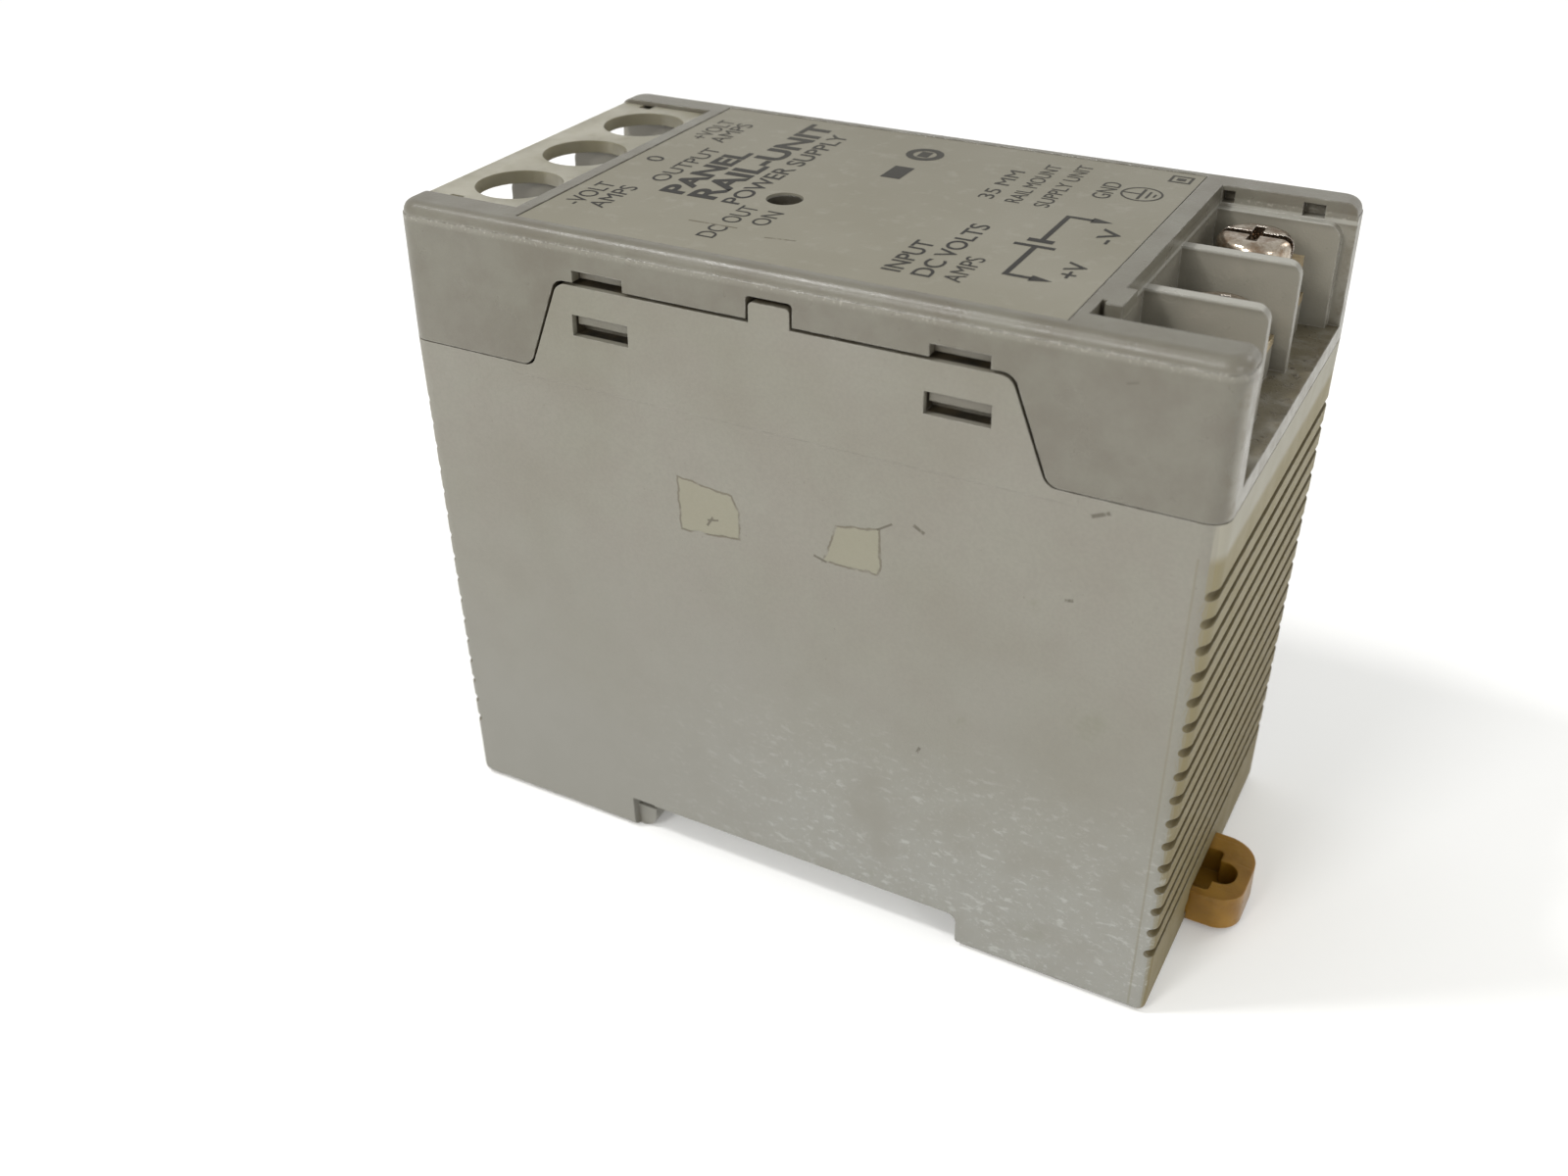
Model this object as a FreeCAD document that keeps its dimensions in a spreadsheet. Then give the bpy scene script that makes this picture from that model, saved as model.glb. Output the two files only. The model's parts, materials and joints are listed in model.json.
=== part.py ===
import FreeCAD, Part
import math
import os
import re

import Sketcher
from FreeCAD import Placement, Rotation, Vector

# A DIN rail power supply: a moulded case and front cover, a rail latch, screw terminals
# under a hinged cover, and the converter boards inside.  The unit lies on its back:
# +Z runs from the rail to the labelled front face, +X from the output end to the input
# end, where the latch is.  Drawing coordinates are centred on the case, with Z = 0 on
# its back face; every sub-part's Placement then moves the origin to the rail seat.

os.makedirs("parts", exist_ok=True)
doc = FreeCAD.newDocument("DinRailPowerSupply")
sheet = doc.addObject("Spreadsheet::Sheet", "Sizes")

SIZES = {
    # whole unit
    "unit_length": 75.0,
    "unit_width": 40.0,
    "unit_height": 63.9,
    "corner_round": 1.8,
    "draft_angle": 1.3,
    # case
    "case_top": 50.9,
    "end_wall": 3.0,
    "side_wall": 1.8,
    "case_floor": 6.0,
    "foot_round": 1.0,
    "tongue_foot": 23.75,
    "tongue_shoulder": 20.45,
    "tongue_top": 59.32,
    "tongue_round": 1.3,
    "tab_half": 1.85,
    "tab_top": 61.1,
    "tab_round": 0.4,
    "window_place": 16.3,
    "window_wide": 5.6,
    "window_low": 54.75,
    "window_top": 56.7,
    "groove_high": 0.95,
    "groove_deep": 0.95,
    "groove_first": 44.6,
    "groove_pitch": 2.48,
    "groove_count": 16,
    "groove_lean": 1.012,
    "rib_deep": 1.2,
    "rib_thick": 0.9,
    # rail slot and the fixed hook
    "rail_offset": 0.65,
    "rail_slot": 35.35,
    "slot_depth": 3.8,
    "hook_reach": 2.1,
    "hook_top": 2.5,
    "hook_roof": 3.9,
    "hook_setback": 2.0,
    "hook_round": 1.7,
    "slot_round": 0.9,
    # rail latch
    "latch_place": -1.3,
    "latch_wide": 9.2,
    "latch_low": 0.6,
    "latch_top": 4.1,
    "latch_tip": 41.0,
    "latch_reach": 1.95,
    "nose_top": 2.5,
    "nose_long": 2.4,
    "latch_play": 0.1,
    "latch_travel": 4.5,
    "flange_wide": 0.8,
    "flange_low": 1.6,
    "flange_top": 2.8,
    "flange_start": 21.0,
    "flange_end": 32.0,
    "stop_slot_start": 22.0,
    "stop_slot_end": 32.0,
    "stop_slot_wide": 3.4,
    "stop_wide": 3.0,
    "stop_low": 1.2,
    "driver_slot_near": 0.8,
    "driver_slot_deep": 2.7,
    "driver_slot_wide": 6.0,
    "driver_slot_round": 0.5,
    "driver_slot_end": 37.9,
    "driver_slot_start": 34.3,
    "driver_lobe_wide": 3.2,
    "driver_lobe_end": 39.8,
    "latch_near_round": 2.4,
    "latch_far_round": 3.4,
    # front cover
    "seam_gap": 0.1,
    "ledge_high": 62.74,
    "ledge_step": 0.08,
    "top_round": 1.05,
    "tongue_gap": 0.2,
    "high_gap": 0.3,
    "tab_gap": 0.25,
    "tab_notch_top": 61.6,
    "pry_wide": 5.0,
    "pry_top": 60.7,
    "pry_deep": 1.2,
    "skirt_thick": 1.2,
    "skirt_low": 53.3,
    "snap_low": 55.65,
    "snap_top": 56.6,
    "snap_reach": 1.25,
    "snap_wide": 5.2,
    "front_plate": 2.0,
    "bay_floor": 52.7,
    "bay_edge": 36.4,
    "bay_wall_input": 25.67,
    "bay_wall_output": 26.7,
    "bay_wall_thick": 1.5,
    "bay_pitch": 10.4,
    "panel_inner": 15.6,
    "panel_outer": 16.5,
    "panel_top": 62.1,
    "partition_thick": 1.1,
    "partition_top": 62.2,
    "partition_end": 35.5,
    "partition_round": 1.2,
    "catch_deep": 1.2,
    "pin_catch_size": 1.1,
    "pin_catch_place": 0.65,
    "pin_height": 62.9,
    "snap_catch_start": 32.8,
    "snap_catch_end": 34.7,
    "snap_catch_low": 62.2,
    "snap_catch_top": 63.4,
    "nib_reach": 0.85,
    "nib_start": -14.1,
    "nib_end": -10.5,
    "nib_low": 62.5,
    "nib_pocket_start": -16.5,
    "nib_pocket_end": -13.4,
    "nib_pocket_deep": 0.9,
    "nib_pocket_low": 61.5,
    # front label and lamp
    "label_left": -25.45,
    "label_right": 23.9,
    "label_half": 18.35,
    "label_recess": 0.3,
    "label_thick": 0.24,
    "label_gap": 0.12,
    "lamp_x": -7.1,
    "lamp_y": -4.0,
    "lamp_hole_radius": 1.65,
    "lamp_radius": 1.45,
    "lamp_rim_radius": 1.75,
    "lamp_base": 57.4,
    "lamp_dome_base": 61.5,
    "lamp_lead": 0.5,
    "lamp_lead_gap": 2.54,
    # output terminal cover
    "lid_top": 63.5,
    "lid_thick": 1.2,
    "lid_end": 37.0,
    "lid_half": 16.35,
    "lid_hole_radius": 4.0,
    "lid_pin_radius": 0.45,
    "lid_pin_long": 1.05,
    "lid_wall_gap": 0.05,
    "lid_notch_long": 1.4,
    "lid_notch_deep": 1.1,
    "lid_notch_place": 34.0,
    # screw terminals
    "screw_input": 30.4,
    "screw_output": -30.9,
    "shank_radius": 1.7,
    "thread_hole_radius": 1.75,
    "head_radius": 3.2,
    "head_thick": 2.6,
    "head_round": 0.9,
    "screw_raise": 2.5,
    "shank_long": 5.0,
    "shank_chamfer": 0.4,
    "slot_wide": 1.0,
    "drive_deep": 1.3,
    "cross_long": 3.8,
    "cross_wide": 0.9,
    "washer_size": 7.2,
    "washer_thick": 1.0,
    "washer_hole_radius": 1.9,
    "pedestal_top": 55.3,
    "pedestal_inner": 2.9,
    "pedestal_outer": 3.9,
    "pedestal_half": 3.9,
    "collar_radius": 2.4,
    "collar_long": 1.6,
    "collar_hole_radius": 2.55,
    "bore_floor": 51.8,
    "plate_thick": 0.8,
    "plate_inner": 4.0,
    "plate_outer": 3.9,
    "plate_half": 4.1,
    "leg_half": 1.5,
    "leg_low": 46.5,
    "leg_play": 0.2,
    # boards
    "board_thick": 1.6,
    "front_board_low": 47.3,
    "front_board_half_long": 34.0,
    "front_board_half_wide": 16.6,
    "main_board_face": -13.8,
    "main_board_half": 34.1,
    "main_board_low": 6.6,
    "main_board_top": 46.9,
    "board_play": 0.1,
    "sheet_thick": 0.3,
    # parts on the boards
    "header_half": 10.0,
    "header_wide": 2.5,
    "header_high": 2.5,
    "header_pin": 0.6,
    "header_pitch": 2.54,
    "header_count": 7,
    "core_x": -3.0,
    "core_z": 26.0,
    "core_long": 25.0,
    "core_high": 20.0,
    "core_deep": 8.0,
    "core_leg": 7.0,
    "core_window": 5.8,
    "core_yoke": 3.4,
    "core_gap": 0.1,
    "core_y": -3.6,
    "bobbin_wall": 0.7,
    "bobbin_play": 0.15,
    "bobbin_pin_radius": 0.3,
    "pin_step": 5.0,
    "winding_out": 4.4,
    "bulk_x": 26.5,
    "bulk_low_z": 22.0,
    "bulk_step": 13.0,
    "bulk_radius": 5.0,
    "bulk_high": 20.0,
    "smoothing_x": -20.1,
    "smoothing_z": 16.5,
    "smoothing_step": 9.5,
    "smoothing_radius": 4.0,
    "smoothing_high": 12.0,
    "choke_x": -28.7,
    "choke_z": 16.5,
    "choke_step": 14.0,
    "choke_radius": 3.9,
    "choke_hole": 2.2,
    "choke_high": 4.6,
    "choke_lift": 0.6,
    "choke_open": 0.8,
    "wire_gap": 0.05,
    "wire_layer": 0.55,
    "sink_x": 17.2,
    "sink_thick": 1.5,
    "sink_low": 8.5,
    "sink_top": 38.5,
    "sink_deep": 22.0,
    "sink_foot": 2.2,
    "transistor_z": 14.0,
    "transistor_wide": 10.0,
    "transistor_thick": 3.2,
    "transistor_high": 9.2,
    "transistor_lift": 4.0,
    "transistor_tab": 6.3,
    "transistor_tab_thick": 1.3,
    "sink_screw_radius": 1.45,
    "sink_screw_hole": 1.6,
    "sink_screw_head": 2.8,
    "diode_radius": 1.6,
    "diode_long": 7.0,
    "diode_lead": 0.4,
    "diode_x": -14.0,
    "diode_z": 9.0,
    "diode_step": 4.0,
    "chip_long": 9.6,
    "chip_wide": 6.4,
    "chip_high": 3.4,
    "chip_lift": 0.5,
    "chip_pin": 0.5,
    "chip_x": -3.0,
    "chip_z": 8.0,
    "coupler_long": 4.6,
    "coupler_x": 9.0,
    "coupler_z": 29.0,
    "film_x": -8.0,
    "film_z": 37.2,
    "film_long": 13.0,
    "film_wide": 5.0,
    "film_high": 10.0,
    "fuse_radius": 4.2,
    "fuse_high": 7.7,
    "fuse_x": 27.0,
    "fuse_z": 11.4,
    "resistor_radius": 1.15,
    "resistor_long": 6.3,
    "resistor_lead": 0.3,
    "resistor_left": -31.0,
    "resistor_middle": -21.0,
    "resistor_right": 12.0,
    "resistor_high_z": 42.0,
    "resistor_low_z": 8.5,
}


def fill_sheet():
    """Put each named size in its own cell, as a plain number with an alias."""
    for row, (alias, number) in enumerate(SIZES.items(), start=1):
        sheet.set("A%d" % row, alias.replace("_", " "))
        sheet.set("B%d" % row, str(number))
        sheet.setAlias("B%d" % row, alias)
    doc.recompute()


def sized(text):
    """Turn a formula in size names into one that reads them from the sheet."""
    return re.sub(r"[a-z][a-z_]*", lambda word: "Sizes." + word.group(), text)


def value(alias):
    return float(sheet.get(alias))


START_ROUND = 0.3  # radius that a rounded sketch corner has until its formula is read, mm
TOUCH = 0.02  # slack of a selection box, mm


# ---- helpers for PartDesign bodies -------------------------------------------------

def new_body(name):
    body = doc.addObject("PartDesign::Body", name)
    body.Label = name
    return body


def origin_plane(body, role):
    return [item for item in body.Origin.OriginFeatures if item.Role == role][0]


def new_sketch(body, name, plane, lift=None):
    """A sketch on one of the body's own origin planes, lifted along its normal."""
    sketch = body.newObject("Sketcher::SketchObject", name)
    sketch.AttachmentSupport = [(origin_plane(body, plane), "")]
    sketch.MapMode = "FlatFace"
    if lift is not None:
        sketch.setExpression("AttachmentOffset.Base.z", sized(lift))
    return sketch


def hold(sketch, kind, geometry, point, formula):
    """Hold one coordinate of a sketch point at a formula in the sheet's sizes."""
    now = sketch.getPoint(geometry, point)
    start = now.x if kind == "DistanceX" else now.y
    index = sketch.addConstraint(Sketcher.Constraint(kind, -1, 1, geometry, point, start))
    sketch.setExpression("Constraints[%d]" % index, sized(formula))


def outline(sketch, corners):
    """A closed outline whose corners are held at formulas in the sheet's sizes."""
    first = sketch.GeometryCount
    count = len(corners)
    start = [Vector(math.cos(2 * math.pi * i / count), math.sin(2 * math.pi * i / count), 0)
             for i in range(count)]
    for i in range(count):
        sketch.addGeometry(Part.LineSegment(start[i], start[(i + 1) % count]), False)
    for i in range(count):
        after = first + (i + 1) % count
        sketch.addConstraint(Sketcher.Constraint("Coincident", first + i, 2, after, 1))
    for i, corner in enumerate(corners):
        for kind, formula in zip(("DistanceX", "DistanceY"), corner):
            hold(sketch, kind, first + i, 1, formula)


def round_corners(sketch, radius, corners):
    """Round the outline's corners, counted from 0, to a formula in the sheet's sizes."""
    doc.recompute()
    lines = [i for i, item in enumerate(sketch.Geometry) if isinstance(item, Part.LineSegment)]
    for corner in corners:
        before, after = lines[corner - 1], lines[corner]
        near = [(sketch.Geometry[i].StartPoint + sketch.Geometry[i].EndPoint) / 2 for i in (before, after)]
        sketch.fillet(before, after, near[0], near[1], START_ROUND, True, True)
        index = sketch.addConstraint(Sketcher.Constraint("Radius", sketch.GeometryCount - 2, START_ROUND))
        sketch.setExpression("Constraints[%d]" % index, sized(radius))


def rectangle(sketch, left, right, low, high):
    outline(sketch, [(left, low), (right, low), (right, high), (left, high)])


def circle(sketch, x, y, radius):
    index = sketch.addGeometry(Part.Circle(Vector(1, 1, 0), Vector(0, 0, 1), 1.0), False)
    for kind, formula in (("DistanceX", x), ("DistanceY", y)):
        hold(sketch, kind, index, 3, formula)
    constraint = sketch.addConstraint(Sketcher.Constraint("Radius", index, 1.0))
    sketch.setExpression("Constraints[%d]" % constraint, sized(radius))


def settled(feature):
    """Recompute, and stop at once if the feature failed."""
    doc.recompute()
    if "Invalid" in feature.State or feature.Shape.isNull():
        raise RuntimeError(feature.Name + ": " + feature.getStatusString())
    return feature


def pad(body, name, sketch, length, reverse=False, both=False):
    feature = body.newObject("PartDesign::Pad", name)
    feature.Profile = sketch
    feature.SideType = "Symmetric" if both else "One side"
    feature.Reversed = reverse
    feature.setExpression("Length", sized(length))
    return settled(feature)


def pocket(body, name, sketch, length, reverse=False, both=False):
    """Cut a sketch into the body, and make sure that it did cut."""
    before = body.Shape.Volume
    feature = body.newObject("PartDesign::Pocket", name)
    feature.Profile = sketch
    feature.SideType = "Symmetric" if both else "One side"
    feature.Reversed = reverse
    feature.setExpression("Length", sized(length))
    if settled(feature).Shape.Volume > before - 1e-4:
        raise RuntimeError(body.Label + ": " + name + " cuts nothing")
    return feature


def edges_inside(shape, low, high):
    """Names of the edges whose whole length lies in the box from low to high."""
    found = []
    for number, edge in enumerate(shape.Edges, start=1):
        box = edge.BoundBox
        inside = (box.XMin >= low[0] and box.YMin >= low[1] and box.ZMin >= low[2]
                  and box.XMax <= high[0] and box.YMax <= high[1] and box.ZMax <= high[2])
        if inside:
            found.append("Edge%d" % number)
    return found


def fillet(body, name, radius, boxes):
    """Round the edges of the body's tip that lie in any of the boxes."""
    base = body.Tip
    names = []
    for low, high in boxes:
        names += [edge for edge in edges_inside(base.Shape, low, high) if edge not in names]
    if not names:
        raise RuntimeError(body.Label + ": " + name + " finds no edge")
    feature = body.newObject("PartDesign::Fillet", name)
    feature.Base = (base, names)
    feature.setExpression("Radius", sized(radius))
    return settled(feature)


def mirrored(body, name, features, plane):
    feature = body.newObject("PartDesign::Mirrored", name)
    feature.Originals = features
    feature.MirrorPlane = (origin_plane(body, plane), [""])
    body.Tip = feature
    return settled(feature)


# ---- helpers for Part primitives ---------------------------------------------------

def bind(item, **formulas):
    for path, formula in formulas.items():
        item.setExpression(path.replace("__", "."), sized(str(formula)))


def box(name, left, right, near, far, low, high):
    item = doc.addObject("Part::Box", name)
    bind(item, Length="(%s)-(%s)" % (right, left), Width="(%s)-(%s)" % (far, near),
         Height="(%s)-(%s)" % (high, low), Placement__Base__x=left, Placement__Base__y=near,
         Placement__Base__z=low)
    return item


ALONG = {
    "x": Rotation(Vector(0, 1, 0), 90),
    "y": Rotation(Vector(1, 0, 0), -90),
    "z": Rotation(),
}


def cylinder(name, radius, height, x, y, z, along="z"):
    """A cylinder that starts at the given point and runs along the positive axis."""
    item = doc.addObject("Part::Cylinder", name)
    item.Placement = Placement(Vector(), ALONG[along])
    bind(item, Radius=radius, Height=height, Placement__Base__x=x, Placement__Base__y=y,
         Placement__Base__z=z)
    return item


def fuse(name, items):
    item = doc.addObject("Part::MultiFuse", name)
    item.Shapes = items
    return item


def cut(name, base, tools):
    item = doc.addObject("Part::Cut", name)
    item.Base = base
    item.Tool = tools[0] if len(tools) == 1 else fuse(name + "_tools", tools)
    return item


# ---- the list of sub-parts ---------------------------------------------------------

subparts = []


def finish(item):
    """Move a finished sub-part so that the rail seat is the origin, and list it."""
    item.setExpression("Placement.Base.x", sized("-rail_offset"))
    item.setExpression("Placement.Base.z", sized("-slot_depth"))
    doc.recompute()
    subparts.append(item)
    return item


def piece(name, items):
    """One sub-part made of one solid, or of several separate like solids."""
    group = doc.addObject("Part::Compound", name)
    group.Label = name
    group.Links = items
    return finish(group)


def far_box(x=(-99, 99), y=(-99, 99), z=(-99, 99)):
    """A selection box that is open in each direction that isn't given."""
    return (x[0], y[0], z[0]), (x[1], y[1], z[1])


def line_box(x, z):
    """A selection box around edges that run along Y at one x and z."""
    return far_box(x=(x - TOUCH, x + TOUCH), z=(z - TOUCH, z + TOUCH))


# ---- case --------------------------------------------------------------------------

def case_block(body):
    """The drafted outer block, widest at the seam, with rounded upright corners."""
    plan = new_sketch(body, "case_plan", "XY_Plane", "case_top")
    rectangle(plan, "-unit_length/2", "unit_length/2", "-unit_width/2", "unit_width/2")
    round_corners(plan, "corner_round", (0, 1, 2, 3))
    block = pad(body, "case_block", plan, "case_top", reverse=True)
    block.setExpression("TaperAngle", sized("-draft_angle"))
    settled(block)
    fillet(body, "foot_rounds", "foot_round", [far_box(z=(-TOUCH, TOUCH))])


def case_tongues(body):
    """The raised tongue with its middle tab, on both broad sides."""
    side = new_sketch(body, "tongue_side", "XZ_Plane", "unit_width/2")
    outline(side, [
        ("-tongue_foot - 2*tongue_round", "case_top - 1"),
        ("tongue_foot + 2*tongue_round", "case_top - 1"),
        ("tongue_foot + 2*tongue_round", "case_top"),
        ("tongue_foot", "case_top"),
        ("tongue_shoulder", "tongue_top"),
        ("tab_half", "tongue_top"),
        ("tab_half", "tab_top"),
        ("-tab_half", "tab_top"),
        ("-tab_half", "tongue_top"),
        ("-tongue_shoulder", "tongue_top"),
        ("-tongue_foot", "case_top"),
        ("-tongue_foot - 2*tongue_round", "case_top"),
    ])
    round_corners(side, "tongue_round", (3, 4, 9, 10))
    round_corners(side, "tab_round", (6, 7))
    tongue = pad(body, "tongue", side, "side_wall", reverse=True)
    mirrored(body, "tongues", [tongue], "XZ_Plane")


def case_cavity(body):
    plan = new_sketch(body, "cavity_plan", "XY_Plane", "tab_top + 1")
    rectangle(plan, "end_wall - unit_length/2", "unit_length/2 - end_wall",
              "side_wall - unit_width/2", "unit_width/2 - side_wall")
    pocket(body, "cavity", plan, "tab_top + 1 - case_floor")


def case_windows(body):
    """Windows in the tongues that the front cover's snaps click into."""
    side = new_sketch(body, "window_side", "XZ_Plane")
    for sign in ("-", ""):
        rectangle(side, sign + "window_place - window_wide/2", sign + "window_place + window_wide/2",
                  "window_low", "window_top")
    pocket(body, "windows", side, "unit_width + 10", both=True)


def case_grooves(body):
    """Horizontal round-bottomed finger grooves down both drafted end faces."""
    side = new_sketch(body, "groove_side", "XZ_Plane")
    floor = value("unit_length") / 2 - value("groove_deep") + value("groove_high") / 2
    first, half, out = value("groove_first"), value("groove_high") / 2, value("unit_length") / 2 + 2
    below, beside, above = (side.addGeometry(Part.LineSegment(Vector(*a), Vector(*b)), False) for a, b in (
        ((floor, first - half, 0), (out, first - half, 0)),
        ((out, first - half, 0), (out, first + half, 0)),
        ((out, first + half, 0), (floor, first + half, 0))))
    round_end = Part.Circle(Vector(floor, first, 0), Vector(0, 0, 1), half)
    arc = side.addGeometry(Part.ArcOfCircle(round_end, math.pi / 2, 3 * math.pi / 2), False)
    lean = side.addGeometry(Part.LineSegment(Vector(out, first, 0), Vector(out - 0.3, 0, 0)), True)
    for constraint in (("Coincident", below, 2, beside, 1), ("Coincident", beside, 2, above, 1),
                       ("Tangent", above, 2, arc, 1), ("Tangent", arc, 2, below, 1),
                       ("Horizontal", below), ("Vertical", beside), ("Coincident", lean, 1, beside, 1)):
        side.addConstraint(Sketcher.Constraint(*constraint))
    hold(side, "DistanceX", arc, 3, "unit_length/2 - groove_deep + groove_high/2")
    hold(side, "DistanceY", arc, 3, "groove_first")
    hold(side, "DistanceX", beside, 1, "unit_length/2 + 2")
    hold(side, "DistanceX", lean, 2, "unit_length/2 + 2 - groove_lean")
    hold(side, "DistanceY", lean, 2, "0")
    index = side.addConstraint(Sketcher.Constraint("Radius", arc, half))
    side.setExpression("Constraints[%d]" % index, sized("groove_high/2"))
    groove = pocket(body, "groove", side, "unit_width + 10", both=True)
    rows = body.newObject("PartDesign::MultiTransform", "groove_rows")
    down = body.newObject("PartDesign::LinearPattern", "groove_rows_down")
    down.Direction = (side, ["Axis0"])
    down.setExpression("Length", sized("groove_pitch*(groove_count - 1)"))
    down.setExpression("Occurrences", sized("groove_count"))
    across = body.newObject("PartDesign::Mirrored", "groove_rows_across")
    across.MirrorPlane = (origin_plane(body, "YZ_Plane"), [""])
    rows.Originals = [groove]
    rows.Transformations = [down, across]
    body.Tip = rows
    settled(rows)


def case_rail_slot(body):
    """The slot for the rail, and the fixed hook at its left side."""
    left = "rail_offset - rail_slot/2"
    right = "rail_offset + rail_slot/2"
    tip = left + " + hook_reach"
    side = new_sketch(body, "rail_side", "XZ_Plane")
    outline(side, [
        (tip + " - 1.2*hook_round", "0 - 1"),
        (right + " + 2*slot_round", "0 - 1"),
        (right + " + 2*slot_round", "0"),
        (right, "0"),
        (right, "slot_depth"),
        (tip, "slot_depth"),
        (tip, "0"),
        (tip + " - 1.2*hook_round", "0"),
    ])
    round_corners(side, "slot_round", (3, 4))
    round_corners(side, "hook_round", (6,))
    pocket(body, "rail_slot", side, "unit_width + 10", both=True)
    hook = new_sketch(body, "hook_side", "XZ_Plane")
    rectangle(hook, left, tip + " + 0.5", "hook_top", "hook_roof")
    pocket(body, "hook_undercut", hook, "unit_width + 10", both=True)
    ends = new_sketch(body, "hook_plan", "XY_Plane", "hook_top + 0.5")
    for near, far in (("-unit_width", "hook_setback - unit_width/2"),
                      ("unit_width/2 - hook_setback", "unit_width")):
        rectangle(ends, left, tip + " + 0.5", near, far)
    pocket(body, "hook_setbacks", ends, "hook_top + 3")


def case_latch_channel(body):
    """The channel that the latch slides in, its side grooves and its stop post."""
    near = "latch_place - latch_wide/2 - latch_play"
    far = "latch_place + latch_wide/2 + latch_play"
    start = "rail_offset + rail_slot/2 - nose_long"
    plan = new_sketch(body, "channel_plan", "XY_Plane")
    rectangle(plan, start, "unit_length/2 + 2", near, far)
    pocket(body, "channel", plan, "latch_top + 2*latch_play", reverse=True)
    flanges = new_sketch(body, "flange_plan", "XY_Plane", "flange_low - latch_play")
    rectangle(flanges, "rail_offset + rail_slot/2 - 1", "flange_end + latch_travel + 2*latch_play",
              near + " - flange_wide", far + " + flange_wide")
    pocket(body, "flange_grooves", flanges, "flange_top - flange_low + 2*latch_play", reverse=True)
    stop = new_sketch(body, "stop_plan", "XY_Plane", "stop_low")
    rectangle(stop, "stop_slot_start + latch_travel + latch_play", "stop_slot_end - latch_play",
              "latch_place - stop_wide/2", "latch_place + stop_wide/2")
    pad(body, "stop_post", stop, "case_floor - stop_low - 0.5")


def case_ribs(body):
    """Card ribs on the end walls that hold the main board."""
    plan = new_sketch(body, "rib_plan", "XY_Plane", "case_floor - 0.5")
    board_back = "main_board_face - board_thick - board_play"
    board_front = "main_board_face + board_play"
    for outer, inner in (("end_wall - unit_length/2 - 0.5", "end_wall - unit_length/2 + rib_deep"),
                         ("unit_length/2 - end_wall - rib_deep", "unit_length/2 - end_wall + 0.5")):
        rectangle(plan, outer, inner, board_back + " - rib_thick", board_back)
        rectangle(plan, outer, inner, board_front, board_front + " + rib_thick")
    pad(body, "card_ribs", plan, "main_board_top - case_floor + 0.5")


def make_case():
    body = new_body("case")
    case_block(body)
    case_tongues(body)
    case_cavity(body)
    case_windows(body)
    case_grooves(body)
    case_rail_slot(body)
    case_latch_channel(body)
    case_ribs(body)
    return finish(body)


# ---- front cover -------------------------------------------------------------------

def cover_block(body):
    """The outer block: a lower part, and an upper part inset by a fine ledge."""
    low = new_sketch(body, "cover_plan", "XY_Plane", "case_top + seam_gap")
    rectangle(low, "-unit_length/2", "unit_length/2", "-unit_width/2", "unit_width/2")
    round_corners(low, "corner_round", (0, 1, 2, 3))
    pad(body, "cover_block", low, "ledge_high - case_top - seam_gap")
    high = new_sketch(body, "cover_top_plan", "XY_Plane", "ledge_high")
    rectangle(high, "ledge_step - unit_length/2", "unit_length/2 - ledge_step",
              "ledge_step - unit_width/2", "unit_width/2 - ledge_step")
    round_corners(high, "corner_round", (0, 1, 2, 3))
    pad(body, "cover_top", high, "unit_height - ledge_high")
    top = value("unit_height")
    fillet(body, "cover_top_rounds", "top_round", [far_box(z=(top - TOUCH, top + TOUCH))])


def cover_tongue_notches(body):
    """Clearance around the case's tongues, leaving a skirt with snaps behind them."""
    side = new_sketch(body, "notch_side", "XZ_Plane", "unit_width/2")
    outline(side, [
        ("-tongue_foot - 3*tongue_round", "case_top - 1"),
        ("tongue_foot + 3*tongue_round", "case_top - 1"),
        ("tongue_foot + 3*tongue_round", "case_top + seam_gap"),
        ("tongue_foot + tongue_gap", "case_top + seam_gap"),
        ("tongue_shoulder + tongue_gap", "tongue_top + high_gap"),
        ("tab_half + tab_gap", "tongue_top + high_gap"),
        ("tab_half + tab_gap", "tab_notch_top"),
        ("-tab_half - tab_gap", "tab_notch_top"),
        ("-tab_half - tab_gap", "tongue_top + high_gap"),
        ("-tongue_shoulder - tongue_gap", "tongue_top + high_gap"),
        ("-tongue_foot - tongue_gap", "case_top + seam_gap"),
        ("-tongue_foot - 3*tongue_round", "case_top + seam_gap"),
    ])
    round_corners(side, "tongue_round", (3, 4, 9, 10))
    round_corners(side, "tab_round", (6, 7))
    notch = pocket(body, "tongue_notch", side, "side_wall + seam_gap")
    mirrored(body, "tongue_notches", [notch], "XZ_Plane")


def cover_pry_notches(body):
    side = new_sketch(body, "pry_side", "XZ_Plane", "unit_width/2")
    for sign in ("-", ""):
        rectangle(side, sign + "window_place - pry_wide/2", sign + "window_place + pry_wide/2",
                  "tongue_top - 0.5", "pry_top")
    notch = pocket(body, "pry_notch", side, "pry_deep")
    mirrored(body, "pry_notches", [notch], "XZ_Plane")


def cover_hollow(body):
    """The hollow under the label, and the open underside of the skirt."""
    plan = new_sketch(body, "hollow_plan", "XY_Plane", "case_top")
    rectangle(plan, "bay_wall_thick - bay_wall_output", "bay_wall_input - bay_wall_thick",
              "side_wall + seam_gap + skirt_thick - unit_width/2",
              "unit_width/2 - side_wall - seam_gap - skirt_thick")
    pocket(body, "hollow", plan, "unit_height - front_plate - case_top", reverse=True)
    low = new_sketch(body, "skirt_plan", "XY_Plane", "case_top")
    rectangle(low, "bay_wall_thick - bay_wall_output", "bay_wall_input - bay_wall_thick",
              "side_wall + seam_gap - unit_width/2", "unit_width/2 - side_wall - seam_gap")
    pocket(body, "skirt_end", low, "skirt_low - case_top", reverse=True)


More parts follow.
